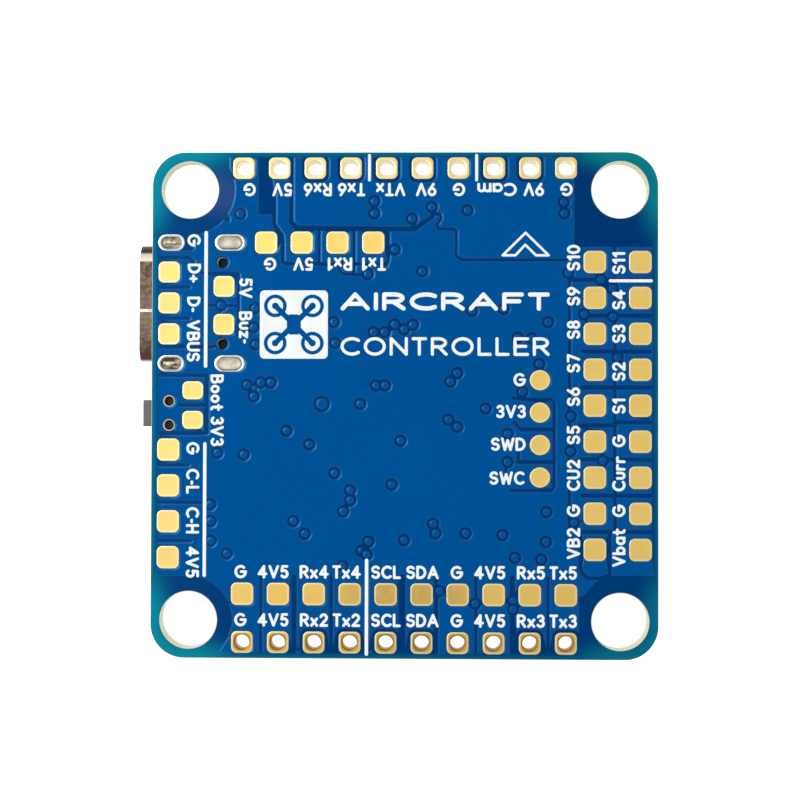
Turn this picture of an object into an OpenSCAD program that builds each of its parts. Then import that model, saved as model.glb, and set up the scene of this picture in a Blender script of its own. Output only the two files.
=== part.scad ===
// Flight controller board for a small multirotor.
// +X is the right edge, +Y the forward edge and +Z points out of the solder-pad face.
// The origin is the centre of the mounting-hole square, on the solder-pad face.

/* [Board] */
// Outside width and length of the square board
board_size = 35.9; // [35.6:0.1:36.4]
// Thickness of the laminate
board_t = 1.2; // [1:0.1:1.6]
// Radius of the board's corners
corner_r = 2.4; // [2:0.1:3]
// Distance between mounting-hole centres, both ways
hole_pitch = 30.5; // [30.4:0.1:30.6]
// Diameter of the mounting holes
mount_hole_d = 4; // [3:0.1:4.2]

/* [Solder pads] */
// Distance between pad centres in a row
pad_pitch = 2.54; // [2.5:0.01:2.54]
// Width of a square pad
pad_w = 1.6; // [1.4:0.05:1.7]
// Width of the square pad round a plated hole
hole_pad_w = 1.54; // [1.4:0.02:1.6]
// Corner radius of a square pad
pad_r = 0.4; // [0.2:0.02:0.5]
// Height of plated copper above the laminate
pad_t = 0.04; // [0.03:0.01:0.06]
// Finished diameter of a plated through hole
drill_d = 1; // [0.8:0.05:1.1]
// Wall thickness of the plating in a hole
plating_t = 0.05; // [0.03:0.01:0.06]
// Number of pads in a row along the front and rear edges
row_count = 10; // [8:1:10]
// Number of pads in a column along the right edge
column_count = 9; // [8:1:9]

/* [USB connector] */
// Centre of the connector along the left edge
usb_y = 7.2; // [7:0.1:7.4]
// How far the shell stands out past the board's edge
usb_overhang = 1.15; // [0.8:0.05:1.4]
// Outside width of the shell
usb_shell_w = 8.94; // [8.9:0.01:9]
// Outside height of the shell
usb_shell_h = 3.16; // [3.1:0.01:3.2]
// Length of the shell
usb_shell_l = 7; // [6.8:0.1:7.2]
// Sheet thickness of the shell
usb_wall = 0.3; // [0.25:0.01:0.3]

/* [Boot button] */
// Centre of the button along the left edge
button_y = -0.62; // [-0.7:0.02:-0.5]
// How far the plunger stands out past the board's edge
plunger_overhang = 0.92; // [0.7:0.01:1]
// Width of the plunger
plunger_w = 1.9; // [1.6:0.1:2]
// Travel of the plunger
plunger_travel = 0.25; // [0.15:0.05:0.25]

/* [Cable sockets] */
// Distance between contacts
socket_pitch = 1; // [0.9:0.05:1]
// Height of a socket's housing
socket_h = 2.95; // [2.8:0.05:3]
// Depth of a socket's housing from its mouth to its back
socket_d = 3.9; // [3.7:0.1:4.1]

/* [Hidden] */
$fn = 48;
half = board_size / 2;
row_x0 = -pad_pitch * (row_count - 1) / 2;
edge_row_y = 16.8;
inner_row_y = -13.4;
column_top_y = 10.13;
column_inner_x = 13.47;
column_outer_x = 16.68;
drill_r = drill_d / 2;
barrel_r = drill_r + plating_t;

usb_front_x = -half - usb_overhang;
usb_back_x = usb_front_x + usb_shell_l;
usb_lift = 0.05;
usb_mid_z = usb_lift + usb_shell_h / 2;
usb_slot_dy = 4.3;
usb_seam_dy = -0.43;
usb_slot_w = 0.78;
usb_front_slot = [-16.58, 1.44, 1.9];
usb_rear_slot = [-12.4, 1.66, 2.18];
usb_slot_pad_w = 1.17;
usb_leg_gap = 0.24;
usb_leg_end = board_t - 0.2;
usb_peg_x = -12.95;
usb_peg_dy = 2.89;
usb_peg_r = 0.3;
usb_tongue_w = 6.69;
usb_tongue_t = 0.7;
usb_tongue_x = usb_front_x + 0.65;
usb_base_x = usb_back_x - 2.1;
usb_contact_pitch = 0.5;
usb_contact_w = 0.26;
usb_contact_t = 0.15;
usb_contact_n = 12;
usb_tail_reach = 0.9;

peg_hole_r = 0.36;
button_peg_r = 0.34;
button_peg_x = -16.7;
button_peg_dy = 0.85;
button_front_x = -half + 0.06;
button_d = 2.9;
button_w = 3.9;
button_h = 1.8;
button_cover_t = 0.15;
button_cavity_x = button_front_x + 0.6;
button_cavity_d = 1.3;
button_cavity_w = 2.6;
button_floor_t = 0.3;
plunger_h = 1.05;
plunger_z = 0.4;
plunger_gap = 0.05;
plunger_flange_t = 0.3;
plunger_stem_w = 0.8;
plunger_stem_l = 0.62;
dome_r = 0.62;
dome_rise = 0.32;
dome_t = 0.06;

socket_wall = 0.5;
socket_mouth_d = 2.9;
socket_pin_t = 0.3;
socket_pin_z = 1.45;
socket_tail_l = 0.75;
socket_x = half - 0.35;

chip_cap_end = 0.25;
lead_t = 0.15;

// Each entry: x, y, turn
resistor_0402 = concat(
    [for (i = [0:5]) [-9.6 + 1.7 * i, -14.9, 0]],
    [for (i = [0:4]) [1.1 + 1.7 * i, -15.2, 0]],
    [for (y = [-2, -3.4, 1.2, 2.6, 4.9, 6.3]) [12.1, y, 0]],
    [[-9.6, 4.5, 0], [-7.9, 4.5, 0], [-11.9, -6.2, 90], [-10.7, -6.2, 90], [-6.7, -5.6, 90]]
);
capacitor_0402 = concat(
    [for (i = [0:4]) [-4.4 + 2.4 * i, 7.4, 0]],
    [for (i = [0:4]) [-4.4 + 2.4 * i, -6.6, 0]],
    [for (i = [0:4]) [7.4, -4.4 + 2.2 * i, 90]],
    [[-6.6, -3.2, 90], [-6.6, -0.6, 90], [-6.4, 5.6, 90], [-6.4, 1.6, 90]]
);
capacitor_0603 = [
    [-8.1, 14.7, 0], [-5.8, 14.7, 0], [1.6, 14.7, 0], [3.9, 14.7, 0], [-1.9, 14.3, 0],
    [11.9, -5.4, 90], [-2.4, -8.2, 90], [-13.95, -2.2, 90]
];
capacitor_1206 = [[10.9, 12, 90], [7.3, 14.4, 0]];
crystal_places = [[-8.6, 2.4, 0], [11, -10.4, 0]];
inductor_places = [[-6.4, 11, 5.2, 2.8], [3, 11.3, 4.2, 2.1]];
buck_places = [[-1.7, 11.2], [7.3, 11.2]];
regulator_places = [[9.5, -6.4], [9.7, 5.5]];
transistor_places = [[-9.4, 6.5], [11.1, 8.7]];
diode_places = [[10.9, -13.5], [-12.4, 1.25]];
led_places = [[-10.4, 8.9], [-10.4, 11], [-10.4, 13.1]];
mcu_place = [0.4, 0.4];
osd_place = [3.6, -11];
flash_place = [-7.7, -10.3];
can_place = [-10.2, -2.2];
imu_place = [9.9, -2.6];
baro_place = [9.9, 1.6];

// ---- Helpers ----

// Flat outline of a rounded rectangle
module rounded_rect(w, l, r) {
    square([w - 2 * r, l], center = true);
    square([w, l - 2 * r], center = true);
    for (sx = [-1, 1], sy = [-1, 1]) translate([sx * (w / 2 - r), sy * (l / 2 - r)]) circle(r);
}

// Flat outline of a slot that runs along X, w long over its round ends
module slot_2d(w, t) {
    square([w - t, t], center = true);
    for (s = [-1, 1]) translate([s * (w - t) / 2, 0]) circle(t / 2);
}

// Children are modelled standing on Z = 0 and are set on the component face, pointing down
module on_component_face() {
    translate([0, 0, -board_t]) mirror([0, 0, 1]) children();
}

// A block with its centre at the origin of X and Y, standing on z
module block(size, z = 0) {
    translate([-size[0] / 2, -size[1] / 2, z]) cube(size);
}

module at_places(places) {
    for (p = places) translate([p[0], p[1], 0]) rotate([0, 0, p[2] == undef ? 0 : p[2]]) children();
}

// ---- Board ----

module usb_slots_2d(grow) {
    for (s = [usb_front_slot, usb_rear_slot], side = [-1, 1])
        translate([s[0], usb_y + side * usb_slot_dy]) slot_2d(s[1] + grow, usb_slot_w + grow);
}

module circuit_board() {
    color("royalblue") translate([0, 0, -board_t]) linear_extrude(board_t) difference() {
        rounded_rect(board_size, board_size, corner_r);
        for (sx = [-1, 1], sy = [-1, 1])
            translate([sx * hole_pitch / 2, sy * hole_pitch / 2]) circle(mount_hole_d / 2);
        for (i = [0:row_count - 1], sy = [-1, 1])
            translate([row_x0 + i * pad_pitch, sy * edge_row_y]) circle(barrel_r);
        usb_slots_2d(2 * plating_t);
        for (s = [-1, 1]) {
            translate([usb_peg_x, usb_y + s * usb_peg_dy]) circle(peg_hole_r);
            translate([button_peg_x, button_y + s * button_peg_dy]) circle(peg_hole_r);
        }
    }
}

// ---- Gold-plated solder pads ----

module square_pad(w = pad_w) {
    linear_extrude(pad_t) rounded_rect(w, w, pad_r);
}

// A pad on each face, joined by the plated wall of its hole
module through_pad() {
    difference() {
        union() {
            square_pad(hole_pad_w);
            translate([0, 0, -board_t - pad_t]) square_pad(hole_pad_w);
            translate([0, 0, -board_t - pad_t]) cylinder(r = barrel_r, h = board_t + 2 * pad_t);
        }
        translate([0, 0, -board_t - 1]) cylinder(r = drill_r, h = board_t + 2);
    }
}

module edge_pads(side) {
    color("goldenrod")
        for (i = [0:row_count - 1]) translate([row_x0 + i * pad_pitch, side * edge_row_y, 0]) through_pad();
}

module inner_pads_front() {
    color("goldenrod")
        for (i = [0:row_count - 1]) translate([row_x0 + i * pad_pitch, inner_row_y, 0]) square_pad();
}

module inner_pads_rear() {
    color("goldenrod") for (i = [0:3]) translate([-9.83 + i * pad_pitch, 11.5, 0]) square_pad();
}

module pad_column(x) {
    color("goldenrod")
        for (i = [0:column_count - 1]) translate([x, column_top_y - i * pad_pitch, 0]) square_pad();
}

module pads_left_usb() {
    color("gold") {
        for (i = [-1:1]) translate([-16.72, usb_y + i * 2.2, 0]) small_pad(1.54, 1.52);
        for (s = [-1, 1]) translate([-12.81, 7.03 + s * 1.35, 0]) small_pad(1.5, 1.5);
    }
}

module pads_left_boot() {
    color("gold") for (s = [-1, 1]) translate([-15, -0.06 + s * 1.05, 0]) small_pad(1.5, 1.3);
}

module pads_left_can() {
    color("goldenrod") for (i = [0:3]) translate([-16.72, -3.22 - i * pad_pitch, 0]) square_pad();
}

module small_pad(w, l) {
    linear_extrude(pad_t) rounded_rect(w, l, 0.36);
}

module test_pads() {
    color("goldenrod")
        for (i = [0:3]) translate([9.6, 1.76 - i * 2.29, 0]) cylinder(d = 1.45, h = pad_t);
}

// ---- USB connector ----

module usb_slot_plating() {
    color("silver") for (s = [usb_front_slot, usb_rear_slot], side = [-1, 1])
        translate([s[0], usb_y + side * usb_slot_dy, 0]) difference() {
            union() {
                linear_extrude(pad_t) slot_2d(s[2], usb_slot_pad_w);
                translate([0, 0, -board_t - pad_t]) linear_extrude(pad_t) slot_2d(s[2], usb_slot_pad_w);
                translate([0, 0, -board_t - pad_t]) linear_extrude(board_t + 2 * pad_t)
                    slot_2d(s[1] + 2 * plating_t, usb_slot_w + 2 * plating_t);
            }
            translate([0, 0, -board_t - 1]) linear_extrude(board_t + 2) slot_2d(s[1], usb_slot_w);
        }
}

// Full-round section of the shell or of what fills it, along X
module usb_section(w, h, x0, x1) {
    translate([x0, usb_y, usb_mid_z]) rotate([90, 0, 90]) linear_extrude(x1 - x0) slot_2d(w, h);
}

// The shell's four legs, each flush with the wall that it leaves
module usb_legs(grow = 0) {
    for (s = [usb_front_slot, usb_rear_slot], side = [-1, 1])
        translate([s[0], usb_y + side * (usb_shell_w - usb_wall) / 2, 0])
            block([s[1] - usb_leg_gap + grow, usb_wall + grow, usb_leg_end + usb_mid_z], -usb_leg_end);
}

module usb_shell() {
    inner_w = usb_shell_w - 2 * usb_wall;
    inner_h = usb_shell_h - 2 * usb_wall;
    foot_w = 6.6;
    seam_w = 0.1;
    color("lightgray") on_component_face() difference() {
        union() {
            usb_section(usb_shell_w, usb_shell_h, usb_front_x, usb_back_x);
            usb_legs();
        }
        usb_section(inner_w, inner_h, usb_front_x - 1, usb_back_x + 1);
        // the insulator's foot reaches the board through this opening
        translate([usb_back_x - 1.6, usb_y - foot_w / 2, -0.5]) cube([3, foot_w, 1]);
        // folding seam of the sheet
        translate([usb_front_x - 1, usb_y + usb_seam_dy - seam_w / 2, -0.5])
            cube([usb_shell_l, seam_w, 1]);
    }
}

// One spring contact: along the tongue, through the base and down to the board
module usb_contact(level) {
    z = usb_mid_z + level * (usb_tongue_t / 2 - usb_contact_t / 2 + 0.02);
    back = usb_back_x + (level > 0 ? 0.3 : 0.12);
    rotate([90, 0, 0]) translate([0, 0, -usb_contact_w / 2]) linear_extrude(usb_contact_w) polygon([
        [usb_tongue_x + 0.4, z - usb_contact_t / 2],
        [usb_tongue_x + 0.4, z + usb_contact_t / 2],
        [back + usb_contact_t, z + usb_contact_t / 2],
        [back + usb_contact_t, usb_contact_t],
        [usb_back_x + usb_tail_reach, usb_contact_t],
        [usb_back_x + usb_tail_reach, 0],
        [back, 0],
        [back, z - usb_contact_t / 2]
    ]);
}

module usb_contact_set() {
    for (i = [0:usb_contact_n - 1])
        translate([0, usb_y + (i - (usb_contact_n - 1) / 2) * usb_contact_pitch, 0])
            usb_contact(i % 2 == 0 ? 1 : -1);
}

module usb_contacts() {
    color("gold") on_component_face() usb_contact_set();
}

module usb_shield_plate_solid() {
    plate_w = usb_tongue_w + 0.1;
    plate_t = 0.16;
    translate([usb_tongue_x + 0.3, usb_y - plate_w / 2, usb_mid_z - plate_t / 2])
        cube([usb_base_x + 1 - usb_tongue_x, plate_w, plate_t]);
}

module usb_shield_plate() {
    color("silver") on_component_face() usb_shield_plate_solid();
}

module usb_insulator() {
    fit = 0.02;
    inner_w = usb_shell_w - 2 * usb_wall - 2 * fit;
    inner_h = usb_shell_h - 2 * usb_wall - 2 * fit;
    foot_w = 6.5;
    foot_d = 1.5;
    color("dimgray") on_component_face() difference() {
        union() {
            usb_section(inner_w, inner_h, usb_base_x, usb_back_x);
            translate([usb_tongue_x, usb_y - usb_tongue_w / 2, usb_mid_z - usb_tongue_t / 2])
                cube([usb_base_x - usb_tongue_x + 0.5, usb_tongue_w, usb_tongue_t]);
            translate([usb_back_x - foot_d, usb_y - foot_w / 2, fit]) cube([foot_d, foot_w, 1]);
            for (s = [-1, 1]) translate([usb_peg_x, usb_y + s * usb_peg_dy, -0.8])
                cylinder(r = usb_peg_r, h = 1.2);
        }
        usb_contact_set();
        usb_shield_plate_solid();
    }
}

// Solder that fills each slot around its leg
module usb_leg_solder() {
    fit = 0.01;
    color("silver") difference() {
        for (s = [usb_front_slot, usb_rear_slot], side = [-1, 1])
            translate([s[0], usb_y + side * usb_slot_dy, -board_t + 0.1])
                linear_extrude(board_t - 0.36) slot_2d(s[1] - 2 * fit, usb_slot_w - 2 * fit);
        on_component_face() usb_legs(2 * fit);
    }
}

// ---- Boot button: a side-push switch ----

module button_box(x0, d, w, z0, h) {
    translate([x0, button_y - w / 2, z0]) cube([d, w, h]);
}

module button_housing() {
    color("#222222") on_component_face() difference() {
        union() {
            button_box(button_front_x, button_d, button_w, 0, button_h - button_cover_t);
            for (s = [-1, 1]) translate([button_peg_x, button_y + s * button_peg_dy, -0.8])
                cylinder(r = button_peg_r, h = 1);
        }
        button_box(button_cavity_x, button_cavity_d, button_cavity_w, button_floor_t, button_h);
        button_box(button_front_x - 1, 2, plunger_w + 2 * plunger_gap,
            plunger_z - plunger_gap, button_h);
    }
}

module button_cover() {
    cover_z = button_h - button_cover_t;
    color("silver") on_component_face() {
        button_box(button_front_x, button_d, button_w, cover_z, button_cover_t);
        for (s = [-1, 1])
            translate([button_front_x + button_d / 2, button_y + s * (button_w + button_cover_t) / 2, 0])
                block([1.2, button_cover_t, 1], button_h - 1);
    }
}

module button_plunger() {
    head_x = -half - plunger_overhang;
    flange_x = button_cavity_x + 0.02;
    stem_x = flange_x + plunger_flange_t;
    color("gray") on_component_face() {
        button_box(head_x, flange_x - head_x, plunger_w, plunger_z, plunger_h);
        button_box(flange_x, plunger_flange_t, button_cavity_w - 0.2, plunger_z, plunger_h);
        button_box(stem_x, plunger_stem_l, plunger_stem_w, plunger_z + 0.15, plunger_h - 0.3);
    }
}

// Snap dome that returns the plunger, standing against the back of the cavity
module button_dome() {
    sphere_r = (dome_r * dome_r + dome_rise * dome_rise) / (2 * dome_rise);
    back_x = button_cavity_x + button_cavity_d - 0.01;
    color("silver") on_component_face()
        translate([back_x, button_y, plunger_z + plunger_h / 2 + 0.03]) rotate([0, -90, 0])
            intersection() {
                translate([0, 0, dome_rise - sphere_r]) difference() {
                    sphere(sphere_r);
                    sphere(sphere_r - dome_t);
                }
                cylinder(r = sphere_r, h = dome_rise + 1);
            }
}

module button_terminals() {
    color("gold") on_component_face() for (sx = [-1, 1], sy = [-1, 1])
        translate([button_front_x + button_d / 2 + sx * 1.05, button_y + sy * (button_w / 2 + 0.25), 0])
            block([0.6, 0.5, lead_t]);
}

// ---- Integrated circuits ----

// A gull-wing lead that leaves a package's side at X = 0 and stands on the board
module gull_lead(reach, exit_z, w, t = lead_t) {
    rotate([90, 0, 0]) translate([0, 0, -w / 2]) linear_extrude(w) polygon([
        [0, exit_z - t / 2], [0, exit_z + t / 2], [0.3 * reach, exit_z + t / 2],
        [0.5 * reach, t], [reach, t], [reach, 0], [0.4 * reach, 0], [0.2 * reach, exit_z - t / 2]
    ]);
}

// count leads on the +X side of a package whose half width is half_w
module lead_row(count, pitch, half_w, reach, exit_z, w) {
    for (i = [0:count - 1]) translate([half_w, (i - (count - 1) / 2) * pitch, 0])
        gull_lead(reach, exit_z, w);
}

// Leads on two sides
module dual_leads(count, pitch, half_w, reach, exit_z, w) {
    for (a = [0, 180]) rotate([0, 0, a]) lead_row(count, pitch, half_w, reach, exit_z, w);
}

module mcu_package() {
    color("#202020") on_component_face() at_places([mcu_place]) block([10, 10, 1.4], 0.1);
}

module mcu_leads() {
    color("silver") on_component_face() at_places([mcu_place])
        for (a = [0:90:270]) rotate([0, 0, a]) lead_row(16, 0.5, 5, 1, 0.8, 0.22);
}

module osd_package() {
    color("#202020") on_component_face() at_places([osd_place]) block([9.7, 4.4, 1], 0.1);
}

module osd_leads() {
    color("silver") on_component_face() at_places([osd_place])
        rotate([0, 0, 90]) dual_leads(14, 0.65, 2.2, 1, 0.6, 0.25);
}

module flash_contact_blocks() {
    for (sx = [-1, 1], i = [-1.5:1.5]) translate([sx * 3.75, i * 1.27, 0]) block([0.5, 0.4, 0.2]);
}

module flash_package() {
    color("#202020") on_component_face() at_places([flash_place]) difference() {
        block([8, 6, 0.8], 0.02);
        flash_contact_blocks();
    }
}

module flash_contacts() {
    color("silver") on_component_face() at_places([flash_place]) flash_contact_blocks();
}

module can_package() {
    color("#202020") on_component_face() at_places([can_place]) block([3.9, 4.9, 1.4], 0.1);
}

module can_leads() {
    color("silver") on_component_face() at_places([can_place]) dual_leads(4, 1.27, 1.95, 1.05, 0.75, 0.4);
}

module imu_package() {
    color("#181818") on_component_face() at_places([imu_place]) block([3, 2.5, 0.86], 0.03);
}

module barometer_base() {
    color("darkgreen") on_component_face() at_places([baro_place]) block([2, 2.5, 0.28], 0.03);
}

module barometer_lid() {
    color("silver") on_component_face() at_places([baro_place]) difference() {
        block([1.86, 2.36, 0.65], 0.31);
        block([1.66, 2.16, 0.55], 0.31);
        translate([0.45, 0.6, 0]) cylinder(d = 0.3, h = 2);
    }
}

module crystal_bases() {
    color("dimgray") on_component_face() at_places(crystal_places) block([3.2, 2.5, 0.45]);
}

module crystal_lids() {
    color("silver") on_component_face() at_places(crystal_places) block([2.8, 2.1, 0.25], 0.45);
}

module buck_packages() {
    color("#202020") on_component_face() at_places(buck_places) block([1.6, 2.9, 1], 0.1);
}

module buck_leads() {
    color("silver") on_component_face() at_places(buck_places) dual_leads(3, 0.95, 0.8, 0.6, 0.55, 0.4);
}

module regulator_packages() {
    color("#202020") on_component_face() at_places(regulator_places) block([1.6, 2.9, 1], 0.1);
}

module regulator_leads() {
    color("silver") on_component_face() at_places(regulator_places) {
        lead_row(3, 0.95, 0.8, 0.6, 0.55, 0.4);
        rotate([0, 0, 180]) lead_row(2, 1.9, 0.8, 0.6, 0.55, 0.4);
    }
}

module transistor_packages() {
    color("#202020") on_component_face() at_places(transistor_places) block([2.9, 1.3, 0.95], 0.1);
}

module transistor_leads() {
    color("silver") on_component_face() at_places(transistor_places) {
        rotate([0, 0, 90]) lead_row(1, 1, 0.65, 0.55, 0.5, 0.4);
        rotate([0, 0, -90]) lead_row(2, 1.9, 0.65, 0.55, 0.5, 0.4);
    }
}

module diode_bodies() {
    color("#202020") on_component_face() at_places(diode_places) block([2.7, 1.4, 1], 0.1);
}

module diode_leads() {
    color("silver") on_component_face() at_places(diode_places) dual_leads(1, 1, 1.35, 0.5, 0.5, 0.6);
}

// ---- Inductors ----

module inductor_bodies() {
    color("dimgray") on_component_face()
        for (p = inductor_places) translate([p[0], p[1], 0]) block([p[2], p[2], p[3]], 0.1);
}

module inductor_terminals() {
    color("silver") on_component_face() for (p = inductor_places, s = [-1, 1])
        translate([p[0] + s * (p[2] / 2 - 0.4), p[1], 0]) block([0.8, 0.6 * p[2], 0.1]);
}

// ---- Chip capacitors and resistors ----

// The middle of a chip part that is l long
module chip_body(l, w, h, end) {
    block([l - 2 * end, w, h]);
}

// Its two plated ends
module chip_ends(l, w, h, end) {
    for (s = [-1, 1]) translate([s * (l - end) / 2, 0, 0]) block([end, w, h]);
}

module large_capacitors() {
    color("tan") on_component_face() at_places(capacitor_1206) chip_body(3.2, 1.6, 1.5, 0.5);
    color("tan") on_component_face() at_places(capacitor_0603) chip_body(1.6, 0.8, 0.8, 0.35);
}

module small_capacitors() {
    color("tan") on_component_face() at_places(capacitor_0402) chip_body(1, 0.5, 0.5, chip_cap_end);
}

module small_resistors() {
    color("#181818") on_component_face() at_places(resistor_0402) chip_body(1, 0.5, 0.33, chip_cap_end);
}

module chip_end_caps() {
    color("silver") on_component_face() {
        at_places(capacitor_1206) chip_ends(3.2, 1.6, 1.5, 0.5);
        at_places(capacitor_0603) chip_ends(1.6, 0.8, 0.8, 0.35);
        at_places(capacitor_0402) chip_ends(1, 0.5, 0.5, chip_cap_end);
        at_places(resistor_0402) chip_ends(1, 0.5, 0.33, chip_cap_end);
    }
}

module led_bases() {
    color("white") on_component_face() at_places(led_places) block([0.8, 1.6, 0.25]);
}

module led_lenses() {
    color("lightyellow") on_component_face() at_places(led_places) block([0.8, 1.1, 0.35], 0.25);
}

// ---- Cable sockets: the mouth faces +X at X = 0, the board is at Z = 0 ----

function socket_w(n) = (n - 1) * socket_pitch + 3;

// A square pin that stands in the mouth, passes the back wall and bends down to the board
module socket_contact() {
    back = -socket_d - 0.1;
    rotate([90, 0, 0]) translate([0, 0, -socket_pin_t / 2]) linear_extrude(socket_pin_t) polygon([
        [-0.7, socket_pin_z - socket_pin_t / 2], [-0.7, socket_pin_z + socket_pin_t / 2],
        [back - 0.2, socket_pin_z + socket_pin_t / 2], [back - 0.2, 0.2],
        [back - socket_tail_l, 0.2], [back - socket_tail_l, 0], [back, 0],
        [back, socket_pin_z - socket_pin_t / 2]
    ]);
}

module socket_contact_row(n) {
    for (i = [0:n - 1]) translate([0, (i - (n - 1) / 2) * socket_pitch, 0]) socket_contact();
}

module socket_housing(n) {
    w = socket_w(n);
    mouth_w = w - 2 * socket_wall;
    key_w = 0.6;
    difference() {
        translate([-socket_d, -w / 2, 0.05]) cube([socket_d, w, socket_h - 0.05]);
        translate([-socket_mouth_d, -mouth_w / 2, socket_wall])
            cube([socket_mouth_d + 1, mouth_w, socket_h - 2 * socket_wall]);
        // keyways in the top wall and relief notches in the side walls
        for (s = [-1, 1]) translate([-socket_mouth_d, s * (w / 2 - 1.3) - key_w / 2, 1])
            cube([socket_mouth_d + 1, key_w, socket_h]);
        for (s = [-1, 1]) translate([-2.2, s * w / 2 - 0.3, -0.1]) cube([1.3, 0.6, 1]);
        socket_contact_row(n);
    }
}

// Solder tabs that stand in the side walls' notches
module socket_tabs(n) {
    for (s = [-1, 1]) translate([-1.55, s * (socket_w(n) / 2 - 0.15), 0]) {
        block([1.2, 0.28, 0.85]);
        translate([0, s * 0.27, 0]) block([1.2, 0.4, 0.15]);
    }
}

module esc_place() {
    translate([socket_x, -3.6, 0]) children();
}

module video_place() {
    translate([socket_x, 6.6, 0]) children();
}

module can_socket_place() {
    translate([-socket_x, -7, 0]) rotate([0, 0, 180]) children();
}

module esc_socket_housing() {
    color("beige") on_component_face() esc_place() socket_housing(8);
}

module esc_socket_contacts() {
    color("gold") on_component_face() esc_place() socket_contact_row(8);
}

module video_socket_housing() {
    color("beige") on_component_face() video_place() socket_housing(6);
}

module video_socket_contacts() {
    color("gold") on_component_face() video_place() socket_contact_row(6);
}

module can_socket_housing() {
    color("beige") on_component_face() can_socket_place() socket_housing(4);
}

module can_socket_contacts() {
    color("gold") on_component_face() can_socket_place() socket_contact_row(4);
}

module socket_solder_tabs() {
    color("silver") on_component_face() {
        esc_place() socket_tabs(8);
        video_place() socket_tabs(6);
        can_socket_place() socket_tabs(4);
    }
}

// ---- Drawing ----

circuit_board();
edge_pads(-1);  // edge_pads_front
edge_pads(1);  // edge_pads_rear
inner_pads_front();
inner_pads_rear();
pad_column(column_inner_x);  // pads_right_inner
pad_column(column_outer_x);  // pads_right_outer
pads_left_usb();
pads_left_can();
pads_left_boot();
test_pads();
usb_slot_plating();
usb_shell();
usb_insulator();
usb_contacts();
usb_shield_plate();
usb_leg_solder();
button_housing();
button_cover();
button_plunger();
button_dome();
button_terminals();
mcu_package();
mcu_leads();
osd_package();
osd_leads();
flash_package();
flash_contacts();
can_package();
can_leads();
imu_package();
barometer_base();
barometer_lid();
crystal_bases();
crystal_lids();
inductor_bodies();
inductor_terminals();
buck_packages();
buck_leads();
regulator_packages();
regulator_leads();
transistor_packages();
transistor_leads();
diode_bodies();
diode_leads();
large_capacitors();
small_capacitors();
small_resistors();
chip_end_caps();
led_bases();
led_lenses();
esc_socket_housing();
esc_socket_contacts();
video_socket_housing();
video_socket_contacts();
can_socket_housing();
can_socket_contacts();
socket_solder_tabs();
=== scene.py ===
"""Looks for the flight controller board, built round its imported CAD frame.

Everything is worked out in millimetres and scaled to metres when a mesh is made. The frame
gives the places: pads, leads, packages and holes are read from the CAD nodes.
"""
import math
import random

import bmesh
import bpy
import numpy as np
from mathutils import Matrix, Vector
from mathutils.geometry import delaunay_2d_cdt


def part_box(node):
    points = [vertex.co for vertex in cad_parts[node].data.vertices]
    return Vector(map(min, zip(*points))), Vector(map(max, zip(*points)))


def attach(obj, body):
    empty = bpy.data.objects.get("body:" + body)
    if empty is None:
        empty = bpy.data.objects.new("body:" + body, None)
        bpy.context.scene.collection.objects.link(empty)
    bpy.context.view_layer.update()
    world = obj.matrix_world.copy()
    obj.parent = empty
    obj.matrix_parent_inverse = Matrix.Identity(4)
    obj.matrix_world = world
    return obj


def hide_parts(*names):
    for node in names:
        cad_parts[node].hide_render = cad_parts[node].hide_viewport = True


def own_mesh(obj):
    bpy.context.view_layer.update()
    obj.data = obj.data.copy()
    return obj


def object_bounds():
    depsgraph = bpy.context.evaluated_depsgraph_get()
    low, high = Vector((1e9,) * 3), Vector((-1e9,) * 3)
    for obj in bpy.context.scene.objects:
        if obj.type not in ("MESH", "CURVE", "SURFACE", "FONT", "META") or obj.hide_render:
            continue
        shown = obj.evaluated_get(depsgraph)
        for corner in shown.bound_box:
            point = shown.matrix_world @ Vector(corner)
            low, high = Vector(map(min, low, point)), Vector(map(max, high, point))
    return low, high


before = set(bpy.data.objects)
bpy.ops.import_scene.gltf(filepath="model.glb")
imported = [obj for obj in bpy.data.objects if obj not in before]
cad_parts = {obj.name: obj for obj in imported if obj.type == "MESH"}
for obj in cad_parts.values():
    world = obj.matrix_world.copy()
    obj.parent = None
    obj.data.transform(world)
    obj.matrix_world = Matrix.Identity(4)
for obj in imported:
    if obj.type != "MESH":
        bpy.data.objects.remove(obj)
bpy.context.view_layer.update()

MM = 0.001
random.seed(7)


# ---------------------------------------------------------------- reading the frame

def box_mm(node):
    lo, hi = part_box(node)
    return np.array(lo) / MM, np.array(hi) / MM


def node_mesh(node):
    """A welded bmesh of a CAD node, in metres."""
    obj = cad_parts[node]
    bm = bmesh.new()
    bm.from_mesh(obj.data)
    bm.transform(obj.matrix_world)
    bmesh.ops.remove_doubles(bm, verts=bm.verts, dist=2e-7)
    return bm


def solids(node):
    """The vertices, in millimetres, of each separate solid of a CAD node."""
    bm = node_mesh(node)
    bm.verts.ensure_lookup_table()
    seen = set()
    out = []
    for start in bm.verts:
        if start.index in seen:
            continue
        seen.add(start.index)
        stack = [start]
        members = []
        while stack:
            v = stack.pop()
            members.append(tuple(v.co))
            for e in v.link_edges:
                w = e.other_vert(v)
                if w.index not in seen:
                    seen.add(w.index)
                    stack.append(w)
        out.append(np.array(members) / MM)
    bm.free()
    return out


def boxes(node):
    """(lowest, highest) corner of each solid of a node, in millimetres."""
    return [(v.min(axis=0), v.max(axis=0)) for v in solids(node)]


BOARD_LO, BOARD_HI = box_mm("circuit_board")
HALF = (BOARD_HI[0] - BOARD_LO[0]) / 2
BOARD_T = BOARD_HI[2] - BOARD_LO[2]
HOLE_AT = 15.25
CORNER_R = 2.4
PAD_TOP = box_mm("pads_right_outer")[1][2]


# ---------------------------------------------------------------- distance fields

FAR = 9.0


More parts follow.
